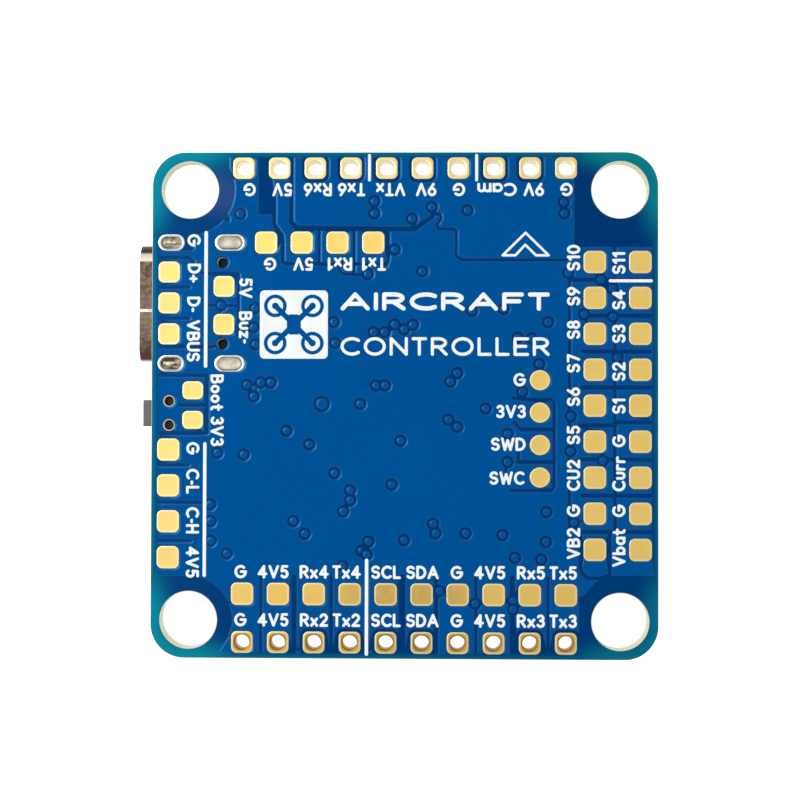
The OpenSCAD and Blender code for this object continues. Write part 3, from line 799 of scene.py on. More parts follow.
CHANNELS = [
    (0.3, [(-9.25, 15.0), (-9.25, 12.8), (-8.68, 12.0), (-8.64, 11.6), (-8.64, 10.1), (-8.2, 9.98)]),
    (0.36, [(-8.04, 17.5), (-8.04, 12.95), (-7.64, 12.55), (0.72, 12.46), (2.02, 13.39)]),
    (0.24, [(1.92, 13.9), (2.0, 13.65), (2.55, 13.5), (2.6, 13.2), (2.3, 12.75), (2.45, 12.46),
            (3.5, 12.46), (3.68, 12.3), (3.68, 10.6), (4.0, 10.28), (11.5, 10.27)]),
    (0.22, [(0.51, 13.22), (0.7, 12.6)]),
    (0.26, [(-6.05, 12.4), (-6.05, 10.02)]),
    (0.26, [(-3.57, 12.4), (-3.57, 9.4)]),
    (0.26, [(-1.15, 12.4), (-1.15, 10.2), (-1.3, 9.8)]),
    (0.24, [(-8.2, 9.98), (-7.6, 10.0), (-1.3, 9.98)]),
    (0.22, [(-4.67, 9.75), (-4.4, 9.28), (-2.6, 9.18)]),
    (0.3, [(-17.4, 10.45), (-15.4, 10.45), (-15.0, 10.15)]),
    (0.28, [(-17.4, 8.33), (-15.3, 8.33)]),
    (0.28, [(-17.4, 6.12), (-15.3, 6.12)]),
    (0.3, [(-17.4, 4.08), (-13.6, 4.08)]),
    (0.3, [(-17.4, 2.06), (-13.98, 2.06), (-13.98, -2.02), (-14.3, -2.06), (-17.4, -2.06)]),
    (0.3, [(-15.9, -0.05), (-14.0, -0.05)]),
    (0.26, [(-14.4, 9.33), (-11.85, 9.33), (-11.78, 9.2), (-11.78, 4.9)]),
    (0.24, [(-14.0, 7.05), (-11.9, 7.0)]),
    (0.28, [(-17.4, -4.3), (-15.3, -4.3)]),
    (0.28, [(-17.4, -6.95), (-14.3, -6.95)]),
    (0.28, [(-17.4, -9.66), (-15.1, -9.66)]),
    (0.26, [(11.68, 8.9), (11.68, -8.9)]),
    (0.28, [(14.88, 11.2), (14.88, -9.0)]),
    (0.3, [(14.5, -9.0), (14.52, -12.0)]),
    (0.3, [(12.45, -9.0), (12.45, -11.4), (12.6, -11.9), (13.0, -12.2), (13.9, -12.2), (14.4, -12.0)]),
    (0.34, [(12.45, -1.42), (14.88, -1.42)]),
    (0.34, [(14.9, -1.2), (17.4, -1.2)]),
    (0.26, [(7.7, 0.47), (8.6, 0.4), (10.38, 0.43), (10.6, 0.2), (10.6, -5.8), (10.38, -6.03),
            (7.6, -6.03)]),
    (0.32, [(8.35, -1.72), (10.6, -1.72)]),
    (0.32, [(8.1, -4.02), (10.6, -4.02)]),
    (0.26, [(7.75, -1.2), (8.35, -1.8)]),
    (0.26, [(8.08, -3.35), (8.08, -4.05)]),
    (0.3, [(7.05, -1.95), (7.05, -2.1)]),
    (0.26, [(7.2, -3.95), (7.2, -4.7)]),
]
RIGHT_BANDS = [8.87, 6.33, 3.79, 1.25, -3.83, -6.37, -8.93]

VIAS = [
    (-11.68, 13.55), (-2.14, 14.46), (-2.14, 13.58), (0.53, 13.2), (1.93, 14.04), (4.46, 13.8),
    (11.27, 14.39), (11.31, 13.59), (-0.69, 11.01), (1.27, 9.46), (-2.6, 9.27), (11.59, 9.36),
    (13.88, 8.89), (14.74, 8.25), (12.71, 6.43), (14.74, 6.26), (4.78, 6.65), (7.03, 6.8),
    (10.17, 5.87), (0.62, 5.68), (0, 5.35), (-0.68, 5.69), (-1.39, 5.14), (-2.17, 5.14), (-4.99, 5.86),
    (-4.89, 4.37), (-10.6, 6.84), (-10.7, 5.48), (-10.56, 4.26), (-13.02, 7.04), (9.02, 4.71),
    (8.02, 4.78), (9.55, 2.91), (8.35, 0.93), (3.75, 2.26), (3.27, 1.64), (15.06, 3.36),
    (-11.15, 1.39), (-10.17, 1.56), (-9.45, 1.56), (-10.67, 0.56), (-1.99, 1.36), (-1.35, 1.37),
    (-3.1, 0.06), (5.77, -0.26), (3.14, -1.05), (3.76, -1.57), (-0.25, -2.55), (-8.33, -1.86),
    (-6.71, -2.83), (-13.24, -3.44), (-11.36, -3.56), (-4.92, -4.86), (-3.81, -6.06), (-3.79, -6.76),
    (-4.3, -7.56), (-0.86, -5.66), (-13.72, -7.09), (-13.68, -8.27), (-13.68, -9.66), (-12.53, -10.56),
    (-7.82, -8.25), (-7.01, -9.14), (-2.5, -9.67), (-2.99, -10.33), (-2.62, -10.61), (-4.32, -11.39),
    (2.06, -8.4), (2.24, -9.07), (4.36, -9.07), (0.02, -9.57), (6.97, -9.18), (10.06, -7.54),
    (10.02, -9.65), (7.84, -10.77), (9.69, -10.89), (11.77, -0.78), (11.75, -3.26), (12.01, -8.29),
    (14.03, -3.91), (7.33, -2.04), (7.31, -4.03), (2.53, -13.15), (5.05, -14.02), (7.71, -13.8),
    (7.71, -14.42),
]
WIDE_VIA = (-5.83, 0.04)


def inset_outline(inset):
    return slab(-HALF + inset, -HALF + inset, HALF - inset, HALF - inset, CORNER_R - inset)[1]


def stadium_shape(x, y, hx, hy):
    """A slot along X as one stroke."""
    return stroke((x - hx + hy, y), (x + hx - hy, y), hy)


def copper_field():
    """A field that is void outside the copper's outer edge."""
    f = Field((-HALF - 0.2, -HALF - 0.2), (HALF + 0.2, HALF + 0.2), COPPER_STEP)
    f.d = -inset_outline(COPPER_INSET)(f.x[None, :], f.y[:, None])
    return f


def discs(holes, grow):
    return [disc(x, y, r + grow) for x, y, r in holes]


def stadiums(grow):
    """The shell's slots, each grown by a margin."""
    out = []
    for lo, hi in slot_boxes:
        c, h = (lo + hi) / 2, (hi - lo) / 2
        out.append(stadium_shape(c[0], c[1], h[0] + grow, h[1] + grow))
    return out


def pad_face_voids():
    """Where the pad face has no copper under its mask."""
    f = copper_field()
    # corners
    f.add(disc(-HOLE_AT, HOLE_AT, 3.2), slab(-18.2, 16.9, -12.45, 18.2),
          slab(-12.75, 12.95, -12.4, 13.4, 0.1))
    f.add(slab(-17.57, 10.9, -14.9, 13.3, 0.3))
    f.add(slab(12.0, 11.17, 18.2, 18.2, 0.2))
    arc = [(-HOLE_AT + 3.13 * math.cos(math.radians(a)), -HOLE_AT + 3.13 * math.sin(math.radians(a)))
           for a in range(80, -16, -8)]
    f.add(region([(-18.2, -12.15), (-15.1, -12.15)] + arc + [(-12.45, -16.6), (-13.0, -17.45),
                 (-13.3, -18.2), (-18.2, -18.2)]))
    f.add(region([(12.33, -18.2), (12.33, -13.45), (12.62, -13.45), (13.4, -12.55), (14.0, -12.2),
                  (14.6, -12.0), (18.2, -11.96), (18.2, -18.2)]))
    f.add(slab(-10.39, 13.48, -9.35, 17.6, 0.1))
    for width, points in CHANNELS:
        f.add(*path(points, width))
    for y in RIGHT_BANDS:
        f.add(stroke((12.6 if y < 8 else 11.95, y), (17.35, y), 0.17))
    for x, width in FRONT_CHANNELS:
        f.add(stroke((x, -12.2), (x, -17.45), width / 2))
    for rows, side in ((REAR_CLEAR, ROW_Y), (FRONT_CLEAR, -ROW_Y)):
        for k in rows:
            f.add(slab(ROW_X[k] - 1.0, side - 1.02, ROW_X[k] + 1.0, side + 1.02, 0.55))
    for x, y in VIAS:
        f.add(ring(x, y, 0.35, 0.12))
        f.cut(disc(x, y, 0.23))
    f.add(ring(WIDE_VIA[0], WIDE_VIA[1], 0.49, 0.12))
    # the openings of the mask round pads, slots and holes
    for node in PADS + THROUGH:
        for lo, hi in pad_boxes[node]:
            r = (hi[0] - lo[0]) / 2 if node == "test_pads" else 0.42
            f.add(slab(lo[0] - 0.05, lo[1] - 0.05, hi[0] + 0.05, hi[1] + 0.05, r))
    f.add(*stadiums(0.06))
    f.add(*discs(peg_holes, 0.12))
    f.add(*discs(mounting_holes, 0.4))
    return f


BARE_RIM = 0.05
BARE_PEG_RIM = 0.05
button_lo, button_hi = box_mm("button_housing")
button_holes = [h for h in peg_holes
                if button_lo[0] < h[0] < button_hi[0] and button_lo[1] < h[1] < button_hi[1]]


def board_loops():
    """Closed loops that both faces share, and those that only mark a change of material."""
    walls = [np.array(rounded(0, 0, 2 * HALF - 0.06, 2 * HALF - 0.06, CORNER_R - 0.03, 20))]
    marks = []
    for x, y, r in mounting_holes:
        walls.append(np.array(circle(x, y, r, 96)))
        marks.append(np.array(circle(x, y, r + BARE_RIM, 96)))
    for x, y, r in button_holes:
        marks.append(np.array(circle(x, y, r + BARE_PEG_RIM, 40)))
    for x, y, r in wire_holes + peg_holes:
        walls.append(np.array(circle(x, y, r, 40)))
    for x, y, hx, hy in slots:
        walls.append(np.array(rounded(x, y, 2 * hx, 2 * hy, hy, 12)))
    return walls, marks


def in_holes(p):
    out = np.zeros(len(p), bool)
    for x, y, r in mounting_holes + wire_holes + peg_holes:
        out |= np.hypot(p[:, 0] - x, p[:, 1] - y) < r * 0.9995
    for x, y, hx, hy in slots:
        u = np.maximum(np.abs(p[:, 0] - x) - (hx - hy), 0)
        out |= np.hypot(u, p[:, 1] - y) < hy * 0.9995
    return out


def board_face(field, walls, marks):
    """One face of the board as (points, triangles, input map, copper 0 or 1, bare laminate flags)."""
    relief = outlines(field, SLOPE_LOW) + outlines(field, SLOPE_HIGH)
    co, tri, goes = triangulated(walls + marks + relief)
    mid = co[tri].mean(axis=1)
    keep = (inset_outline(0.03)(mid[:, 0], mid[:, 1]) < 0) & ~in_holes(mid)
    tri, mid = tri[keep], mid[keep]
    copper = (field.at(co) > (SLOPE_LOW + SLOPE_HIGH) / 2).astype(float)
    bare = np.zeros(len(tri), bool)
    for x, y, r in mounting_holes:
        bare |= np.hypot(mid[:, 0] - x, mid[:, 1] - y) < r + BARE_RIM
    for x, y, r in button_holes:
        bare |= np.hypot(mid[:, 0] - x, mid[:, 1] - y) < r + BARE_PEG_RIM
    return co, tri, goes, copper, bare


def make_board(top_field, bottom_field):
    walls, marks = board_loops()
    top = board_face(top_field, walls, marks)
    bottom = board_face(bottom_field, walls, marks)
    verts, faces, mats, copper = [], [], [], []
    bases = []
    for (co, tri, _, cu, bare), side in ((top, 1), (bottom, -1)):
        base = len(verts)
        bases.append(base)
        for p, c in zip(co, cu):
            h = Z_VOID + (Z_COPPER - Z_VOID) * c
            verts.append((p[0], p[1], h if side > 0 else -BOARD_T - h))
        copper += cu.tolist()
        for t, b in zip(tri, bare):
            faces.append(tuple(base + k for k in (t if side > 0 else t[::-1])))
            mats.append(1 if b else 0)
    start = 0
    for number, wall in enumerate(walls):
        n = len(wall)
        up = [bases[0] + top[2][start + k] for k in range(n)]
        down = [bases[1] + bottom[2][start + k] for k in range(n)]
        start += n
        chain = [down, up]
        if number == 0:
            outer = rounded(0, 0, 2 * HALF, 2 * HALF, CORNER_R, 20)
            rings = []
            for z in (-BOARD_T + 0.03, -0.03):
                rings.append(list(range(len(verts), len(verts) + n)))
                verts += [(p[0], p[1], z) for p in outer]
                copper += [0.0] * n
            chain = [down] + rings + [up]
        for a, b in zip(chain, chain[1:]):
            for k in range(n):
                q = (a[k], a[(k + 1) % n], b[(k + 1) % n], b[k])
                faces.append(q if number == 0 else q[::-1])
                mats.append(1)
    used = sorted({k for f in faces for k in f})
    renumber = {k: i for i, k in enumerate(used)}
    obj = finish_object("board", [verts[k] for k in used], [tuple(renumber[k] for k in f) for f in faces],
                        [MATERIAL["mask"], MATERIAL["laminate"]], indices=mats, smooth=8)
    a = obj.data.attributes.new("copper", "FLOAT", "POINT")
    a.data.foreach_set("value", [copper[k] for k in used])
    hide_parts("circuit_board")


# ---------------------------------------------------------------- lettering

def bow(cx, cy, rx, ry, a0, a1, n=10):
    return [(cx + rx * math.cos(math.radians(a0 + (a1 - a0) * k / n)),
             cy + ry * math.sin(math.radians(a0 + (a1 - a0) * k / n))) for k in range(n + 1)]


# Each letter: its width, then its strokes, with the capital height as 1
LETTERS = {
    "A": (0.8, [[(0, 0), (0.4, 1), (0.8, 0)], [(0.14, 0.33), (0.66, 0.33)]]),
    "B": (0.62, [[(0, 0), (0, 1), (0.32, 1)] + bow(0.32, 0.77, 0.25, 0.23, 90, -90) + [(0, 0.54)],
                 bow(0.34, 0.27, 0.28, 0.27, 90, -90) + [(0, 0)]]),
    "C": (0.74, [bow(0.45, 0.5, 0.45, 0.5, 50, 310, 16)]),
    "D": (0.7, [[(0, 0), (0, 1), (0.22, 1)] + bow(0.22, 0.5, 0.48, 0.5, 90, -90, 12) + [(0, 0)]]),
    "E": (0.56, [[(0.56, 1), (0, 1), (0, 0), (0.56, 0)], [(0, 0.52), (0.48, 0.52)]]),
    "F": (0.56, [[(0.56, 1), (0, 1), (0, 0)], [(0, 0.52), (0.48, 0.52)]]),
    "G": (0.88, [bow(0.46, 0.5, 0.46, 0.5, 50, 360, 18) + [(0.5, 0.5)]]),
    "H": (0.62, [[(0, 0), (0, 1)], [(0.62, 0), (0.62, 1)], [(0, 0.5), (0.62, 0.5)]]),
    "I": (0.0, [[(0, 0), (0, 1)]]),
    "L": (0.5, [[(0, 1), (0, 0), (0.5, 0)]]),
    "N": (0.68, [[(0, 0), (0, 1), (0.68, 0), (0.68, 1)]]),
    "O": (0.86, [bow(0.43, 0.5, 0.43, 0.5, 0, 360, 24)]),
    "R": (0.62, [[(0, 0), (0, 1), (0.3, 1)] + bow(0.3, 0.74, 0.29, 0.26, 90, -90) + [(0, 0.48)],
                 [(0.28, 0.48), (0.62, 0)]]),
    "S": (0.6, [bow(0.31, 0.75, 0.29, 0.25, 30, 250) + bow(0.3, 0.26, 0.3, 0.26, 75, -150)]),
    "T": (0.56, [[(0, 1), (0.56, 1)], [(0.28, 1), (0.28, 0)]]),
    "U": (0.64, [[(0, 1), (0, 0.32)] + bow(0.32, 0.32, 0.32, 0.32, 180, 360) + [(0.64, 1)]]),
    "V": (0.74, [[(0, 1), (0.37, 0), (0.74, 1)]]),
    "W": (1.0, [[(0, 1), (0.24, 0), (0.5, 0.85), (0.76, 0), (1.0, 1)]]),
    "a": (0.56, [bow(0.28, 0.32, 0.28, 0.32, 0, 360, 16), [(0.56, 0.64), (0.56, 0)]]),
    "b": (0.56, [bow(0.28, 0.32, 0.28, 0.32, 0, 360, 16), [(0, 1), (0, 0)]]),
    "m": (0.84, [[(0, 0), (0, 0.64)], bow(0.21, 0.43, 0.21, 0.21, 180, 0) + [(0.42, 0)],
                 bow(0.63, 0.43, 0.21, 0.21, 180, 0) + [(0.84, 0)]]),
    "o": (0.56, [bow(0.28, 0.31, 0.28, 0.31, 0, 360, 16)]),
    "r": (0.36, [[(0, 0), (0, 0.64)], bow(0.28, 0.34, 0.28, 0.3, 180, 70)]),
    "t": (0.42, [[(0.16, 0.95), (0.16, 0.16)] + bow(0.32, 0.16, 0.16, 0.16, 180, 280),
                 [(0, 0.64), (0.4, 0.64)]]),
    "u": (0.5, [[(0, 0.64), (0, 0.25)] + bow(0.25, 0.25, 0.25, 0.25, 180, 360) + [(0.5, 0.64)]]),
    "x": (0.5, [[(0, 0), (0.5, 0.62)], [(0, 0.62), (0.5, 0)]]),
    "z": (0.46, [[(0, 0.62), (0.46, 0.62), (0, 0), (0.46, 0)]]),
    "0": (0.62, [bow(0.31, 0.5, 0.31, 0.5, 0, 360, 20)]),
    "1": (0.28, [[(0, 0.78), (0.24, 1), (0.24, 0)]]),
    "2": (0.58, [bow(0.29, 0.72, 0.28, 0.28, 165, -30) + [(0.02, 0), (0.58, 0)]]),
    "3": (0.56, [bow(0.27, 0.76, 0.25, 0.24, 150, -90), bow(0.27, 0.27, 0.29, 0.27, 90, -150)]),
    "4": (0.66, [[(0.46, 0), (0.46, 1), (0, 0.3), (0.66, 0.3)]]),
    "5": (0.56, [[(0.52, 1), (0.1, 1), (0.05, 0.56)] + bow(0.28, 0.31, 0.28, 0.31, 120, -145)]),
    "6": (0.58, [[(0.42, 1), (0.08, 0.5)], bow(0.29, 0.3, 0.29, 0.3, 0, 360, 16)]),
    "7": (0.56, [[(0, 1), (0.56, 1), (0.18, 0)]]),
    "8": (0.56, [bow(0.28, 0.76, 0.24, 0.24, 0, 360, 16), bow(0.28, 0.27, 0.28, 0.27, 0, 360, 16)]),
    "9": (0.58, [[(0.16, 0), (0.5, 0.5)], bow(0.29, 0.7, 0.29, 0.3, 0, 360, 16)]),
    "-": (0.16, [[(0, 0.42), (0.16, 0.42)]]),
    "+": (0.5, [[(0, 0.42), (0.5, 0.42)], [(0.25, 0.17), (0.25, 0.67)]]),
}


def word(text, x, y, turn=0.0, height=0.95, weight=0.188, width=None, gap=0.075):
    """Strokes of a word centred on x, y. height and width include the thickness of the strokes."""
    h = height - weight
    total = sum(LETTERS[c][0] for c in text) * h + (weight + gap * height) * (len(text) - 1)
    stretch = 1.0
    if width:
        letters = sum(LETTERS[c][0] for c in text) * h
        stretch = (width - weight - (weight + gap * height) * (len(text) - 1)) / letters
        total = width - weight
    c, s = math.cos(math.radians(turn)), math.sin(math.radians(turn))
    at = -total / 2
    out = []
    for ch in text:
        wide, lines = LETTERS[ch]
        for line in lines:
            pts = []
            for u, v in line:
                px = at + u * h * stretch
                py = (v - 0.5) * h
                pts.append((x + c * px - s * py, y + s * px + c * py))
            out += path(pts, weight)
        at += wide * h * stretch + weight + gap * height
    return out


REAR_LABELS = ["G", "5V", "Rx6", "Tx6", "VTx", "9V", "G", "Cam", "9V", "G"]
REAR_LABEL_X = [-11.01, -8.68, -6.17, -3.77, -0.99, 1.53, 3.86, 6.55, 9.15, 11.47]
INNER_LABELS = [("G", -9.53), ("5V", -7.17), ("Rx1", -4.59), ("Tx1", -2.17)]
FRONT_INNER = ["G", "4V5", "Rx4", "Tx4", "SCL", "SDA", "G", "4V5", "Rx5", "Tx5"]
FRONT_OUTER = ["G", "4V5", "Rx2", "Tx2", "SCL", "SDA", "G", "4V5", "Rx3", "Tx3"]
FRONT_LABEL_X = [-11.55, -9.23, -6.33, -4.04, -1.25, 1.32, 3.74, 6.07, 8.97, 11.24]
RIGHT_INNER = [("S10", 10.42), ("S9", 7.7), ("S8", 5.33), ("S7", 2.95), ("S6", 0.59), ("S5", -2.11),
               ("CU2", -4.95), ("G", -7.45), ("VB2", -9.75)]
RIGHT_OUTER = [("S11", 10.06), ("S4", 7.45), ("S3", 5.05), ("S2", 2.37), ("S1", -0.06), ("G", -2.53),
               ("Curr", -4.84), ("G", -7.45), ("Vbat", -10.02)]
LEFT_LABELS = [("G", -14.96, 11.67), ("D+", -14.93, 9.32), ("D-", -14.96, 7.1), ("VBUS", -14.975, 4.505),
               ("5V", -11.26, 8.27), ("Buz-", -11.27, 5.46), ("Boot", -13.27, 0.82), ("3V3", -13.25, -1.91),
               ("G", -14.97, -3.11), ("C-L", -14.97, -5.46), ("C-H", -14.97, -8.22), ("4V5", -14.97, -11.18)]
TEST_LABELS = [("G", 8.15, 1.79), ("3V3", 7.55, -0.46), ("SWD", 7.36, -2.77), ("SWC", 7.27, -5.16)]
BARS = [((-2.5, 15.95), (-2.5, 17.7), 0.21), ((5.1, 15.95), (5.1, 17.7), 0.21),
        ((-14.1, 12.2), (-14.1, 2.72), 0.25), ((-14.12, -2.8), (-14.12, -12.1), 0.24),
        ((-2.62, -11.0), (-2.62, -17.6), 0.24), ((14.55, 8.8), (17.45, 8.8), 0.22)]


# Where the rows of labels run, and the two title lines
REAR_LABEL_Y, INNER_LABEL_Y = 15.27, 9.97
FRONT_INNER_Y, FRONT_OUTER_Y = -11.83, -15.22
RIGHT_INNER_X, RIGHT_OUTER_X = 11.96, 15.15
TITLE_X, TITLE_WIDTH = 2.88, 14.8


def pad_face_legend():
    f = Field((-HALF, -HALF), (HALF, HALF), LEGEND_STEP)
    for text, x in zip(REAR_LABELS, REAR_LABEL_X):
        f.add(*word(text, x, REAR_LABEL_Y, 180, width=2.8 if text == "Cam" else None))
    for text, x in INNER_LABELS:
        f.add(*word(text, x, INNER_LABEL_Y, 180))
    for inner, outer, x in zip(FRONT_INNER, FRONT_OUTER, FRONT_LABEL_X):
        f.add(*word(inner, x, FRONT_INNER_Y))
        f.add(*word(outer, x, FRONT_OUTER_Y))
    for text, y in RIGHT_INNER:
        f.add(*word(text, RIGHT_INNER_X, y, 90))
    for text, y in RIGHT_OUTER:
        f.add(*word(text, RIGHT_OUTER_X, y, 90))
    for text, x, y in LEFT_LABELS:
        f.add(*word(text, x, y, -90))
    for text, x, y in TEST_LABELS:
        f.add(*word(text, x, y))
    for p, q, width in BARS:
        f.add(stroke(p, q, width / 2))
    chevron = [(8.57, 12.2), (10.2, 10.6), (9.3, 10.6), (8.55, 11.35), (7.85, 10.6), (6.95, 10.6),
               (8.57, 12.2)]
    f.add(*path(chevron, 0.17))
    f.add(*word("AIRCRAFT", TITLE_X, 7.32, 0, 1.3, 0.3, width=TITLE_WIDTH, gap=0.22))
    f.add(*word("CONTROLLER", TITLE_X, 4.13, 0, 1.32, 0.22, width=TITLE_WIDTH, gap=0.2))
    # four-rotor mark: a white tile with the outline of a small aircraft left open
    x0, x1, y0, y1 = -10.25, -5.42, 3.25, 8.1
    f.add(slab(x0, y0, x1, y1, 0.32))
    cx, cy = (x0 + x1) / 2, (y0 + y1) / 2
    arm = 1.32
    f.cut(stroke((cx - arm, cy - arm), (cx + arm, cy + arm), 0.19))
    f.cut(stroke((cx - arm, cy + arm), (cx + arm, cy - arm), 0.19))
    f.cut(slab(cx - 0.5, cy - 0.72, cx + 0.5, cy + 0.72, 0.28))
    for sx in (-1, 1):
        for sy in (-1, 1):
            f.cut(ring(cx + sx * arm, cy + sy * arm, 0.68, 0.13))
            f.cut(disc(cx + sx * arm, cy + sy * arm, 0.24))
    return f


def ink(name, field, z_base, side=1):
    """Closed prisms with an eased top edge from a drawn legend."""
    low, high = outlines(field, 0.0), outlines(field, -0.03)
    co, tri, _ = triangulated(low + high)
    mid = co[tri].mean(axis=1)
    tri = tri[field.at(mid) < 0]
    raised = field.at(co) < -0.015
    z_edge, z_top, z_foot = z_base + 0.008, z_base + 0.02, z_base - 0.045
    n = len(co)
    verts = [(p[0], p[1], side_z(z_top if up else z_edge, side)) for p, up in zip(co, raised)]
    verts += [(p[0], p[1], side_z(z_foot, side)) for p in co]
    faces = [tuple(t) for t in tri] + [tuple(n + k for k in t[::-1]) for t in tri]
    edges = {}
    for t in tri:
        for a, b in ((t[0], t[1]), (t[1], t[2]), (t[2], t[0])):
            edges[(a, b)] = True
    faces += [(b, a, n + a, n + b) for a, b in edges if (b, a) not in edges]
    if side < 0:
        faces = [f[::-1] for f in faces]
    used = sorted({int(k) for f in faces for k in f})
    new = {k: i for i, k in enumerate(used)}
    finish_object(name, [verts[k] for k in used], [[new[int(k)] for k in f] for f in faces],
                  [MATERIAL["legend"]], smooth=50)


def side_z(z, side):
    return z if side > 0 else -BOARD_T - z


# ---------------------------------------------------------------- pads and slots

def dense(cx, cy, w, h, r, per_corner=8, flat=6):
    """A rounded rectangle with points along its straight sides too."""
    corners = rounded(cx, cy, w, h, r, per_corner)
    out = []
    n = per_corner + 1
    for c in range(4):
        run = corners[c * n:(c + 1) * n]
        out += run
        a, b = run[-1], corners[((c + 1) % 4) * n]
        out += [(a[0] + (b[0] - a[0]) * k / flat, a[1] + (b[1] - a[1]) * k / flat) for k in range(1, flat)]
    return out


PAD_CORNER = 0.4
# Rings of a flat pad: inset, height below the top, tone (1 is the painted highlight at the edge)
PAD_RINGS = [(0, None, 1.0), (0, 0.022, 1.0), (0.01, 0.007, 1.0), (0.035, 0.0, 1.0), (0.085, 0.002, 0.8),
             (0.15, 0.004, 0.1), (0.22, 0.005, 0.0), (0.36, 0.007, 0.0)]


def flat_pads(node, radius):
    build = Build()
    for lo, hi in pad_boxes[node]:
        c, s = (lo + hi) / 2, hi - lo
        rings = []
        for inset, drop, _ in PAD_RINGS:
            r = max(radius(s) - inset, 0.05)
            z = 0.0 if drop is None else PAD_TOP - drop
            rings.append(lifted(rounded(c[0], c[1], s[0] - 2 * inset, s[1] - 2 * inset, r, 8), z))
        stacked(build, rings, tones=[tone for _, _, tone in PAD_RINGS])
    obj = finish_object(node + "_gold", build.v, build.f, [MATERIAL["gold"]], smooth=60, tones=build.tone)
    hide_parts(node)


def hollow(build, outer, inner, hole, barrel, top, bottom):
    """A plated hole: a land on each face joined by a tube. outer(inset) and inner(grow) give loops."""
    t, b = top, bottom
    # tone per ring: above 0 paints the highlight on the land's rolled edge, below 0 the shade and light on
    # the hole's lip
    profile = [(outer(0), 0.0, 1.0), (outer(0), t - 0.022, 1.0), (outer(0.01), t - 0.007, 1.0),
               (outer(0.035), t, 1.0), (outer(0.12), t, 0.3),
               (inner(hole + 0.09), t, -0.8), (inner(hole + 0.03), t - 0.012, -1.0),
               (inner(hole), t - 0.05, -1.0), (inner(hole), b + 0.05, -0.6),
               (inner(hole + 0.03), b + 0.012, -1.0), (inner(hole + 0.09), b, -0.5),
               (outer(0.12), b, 0.3), (outer(0.035), b, 1.0), (outer(0.01), b + 0.007, 1.0),
               (outer(0), b + 0.022, 1.0), (outer(0), -BOARD_T, 1.0),
               (inner(barrel), -BOARD_T, 0.0), (inner(barrel), 0.0, 0.0)]
    ids = [build.ring(lifted(p, z), tone) for p, z, tone in profile]
    for a, c in zip(ids, ids[1:] + ids[:1]):
        build.band(a, c)


def through_pads(node):
    build = Build()
    bottom = box_mm(node)[0][2]
    for lo, hi in pad_boxes[node]:
        c, s = (lo + hi) / 2, hi - lo
        barrel = min(wire_holes, key=lambda q: math.hypot(q[0] - c[0], q[1] - c[1]))[2]

        def outer(inset):
            return dense(c[0], c[1], s[0] - 2 * inset, s[1] - 2 * inset, PAD_CORNER - inset)
        bearing = [math.atan2(p[1] - c[1], p[0] - c[0]) for p in outer(0)]

        def inner(r):
            return [(c[0] + r * math.cos(a), c[1] + r * math.sin(a)) for a in bearing]
        hollow(build, outer, inner, barrel - PLATING, barrel, PAD_TOP, bottom)
    obj = finish_object(node + "_gold", build.v, build.f, [MATERIAL["gold"]], smooth=50, tones=build.tone)
    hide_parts(node)


def slot_lands():
    build = Build()
    fill = Build()
    bottom = box_mm("usb_slot_plating")[0][2]
    solder_lo, solder_hi = box_mm("usb_leg_solder")
    for lo, hi in slot_boxes:
        c, s = (lo + hi) / 2, hi - lo
        hole = min(slots, key=lambda q: math.hypot(q[0] - c[0], q[1] - c[1]))
        straight = hole[2] - hole[3]

        def outer(inset):
            return dense(c[0], c[1], s[0] - 2 * inset, s[1] - 2 * inset, s[1] / 2 - inset, 12, 8)

        def inner(r):
            return dense(c[0], c[1], 2 * (straight + r), 2 * r, r, 12, 8)
        hollow(build, outer, inner, hole[3] - PLATING, hole[3], PAD_TOP, bottom)
        r = hole[3] - PLATING - 0.005
        top = solder_hi[2] + (0.22 if c[0] > -14.5 else 0.0)
        rings = [lifted(inner(r - 0.06), solder_lo[2]), lifted(inner(r), solder_lo[2] + 0.05)]
        rings += [lifted(inner(r - inset), top + rise)
                  for inset, rise in ((0, 0.17), (0.035, 0.1), (0.09, 0.05), (0.17, 0.02), (0.27, 0.01))]
        stacked(fill, rings)
    obj = finish_object("usb_slot_lands", build.v, build.f, [MATERIAL["tinned"]], smooth=50)
    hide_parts("usb_slot_plating")
    obj = finish_object("usb_slot_solder", fill.v, fill.f, [MATERIAL["slot_solder"]], smooth=60)
    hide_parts("usb_leg_solder")


# ---------------------------------------------------------------- solid pieces

def eased(node, width, material, rides="board", angle=28.0, segments=2):
    """The CAD node's own solid with its sharp edges rounded."""
    bm = node_mesh(node)
    bm.transform(Matrix.Scale(1 / MM, 4))
    bmesh.ops.dissolve_limit(bm, angle_limit=math.radians(0.8), verts=bm.verts, edges=bm.edges)
    sharp = [e for e in bm.edges if len(e.link_faces) == 2 and e.calc_face_angle(0) > math.radians(angle)]
    bmesh.ops.bevel(bm, geom=sharp, offset=width, offset_type="OFFSET", segments=segments,
                    profile=0.5, affect="EDGES", clamp_overlap=True)
    bmesh.ops.remove_doubles(bm, verts=bm.verts, dist=1e-4)
    bm.transform(Matrix.Scale(MM, 4))
    mesh = bpy.data.meshes.new(node + "_eased")
    bm.to_mesh(mesh)
    bm.free()
    mesh.materials.append(MATERIAL[material])
    mesh.polygons.foreach_set("use_smooth", [True] * len(mesh.polygons))
    mesh.set_sharp_from_angle(angle=math.radians(50))
    obj = bpy.data.objects.new(node + "_eased", mesh)
    bpy.context.scene.collection.objects.link(obj)
    m = obj.modifiers.new("weighted", "WEIGHTED_NORMAL")
    m.keep_sharp = True
    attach(obj, rides)
    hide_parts(node)


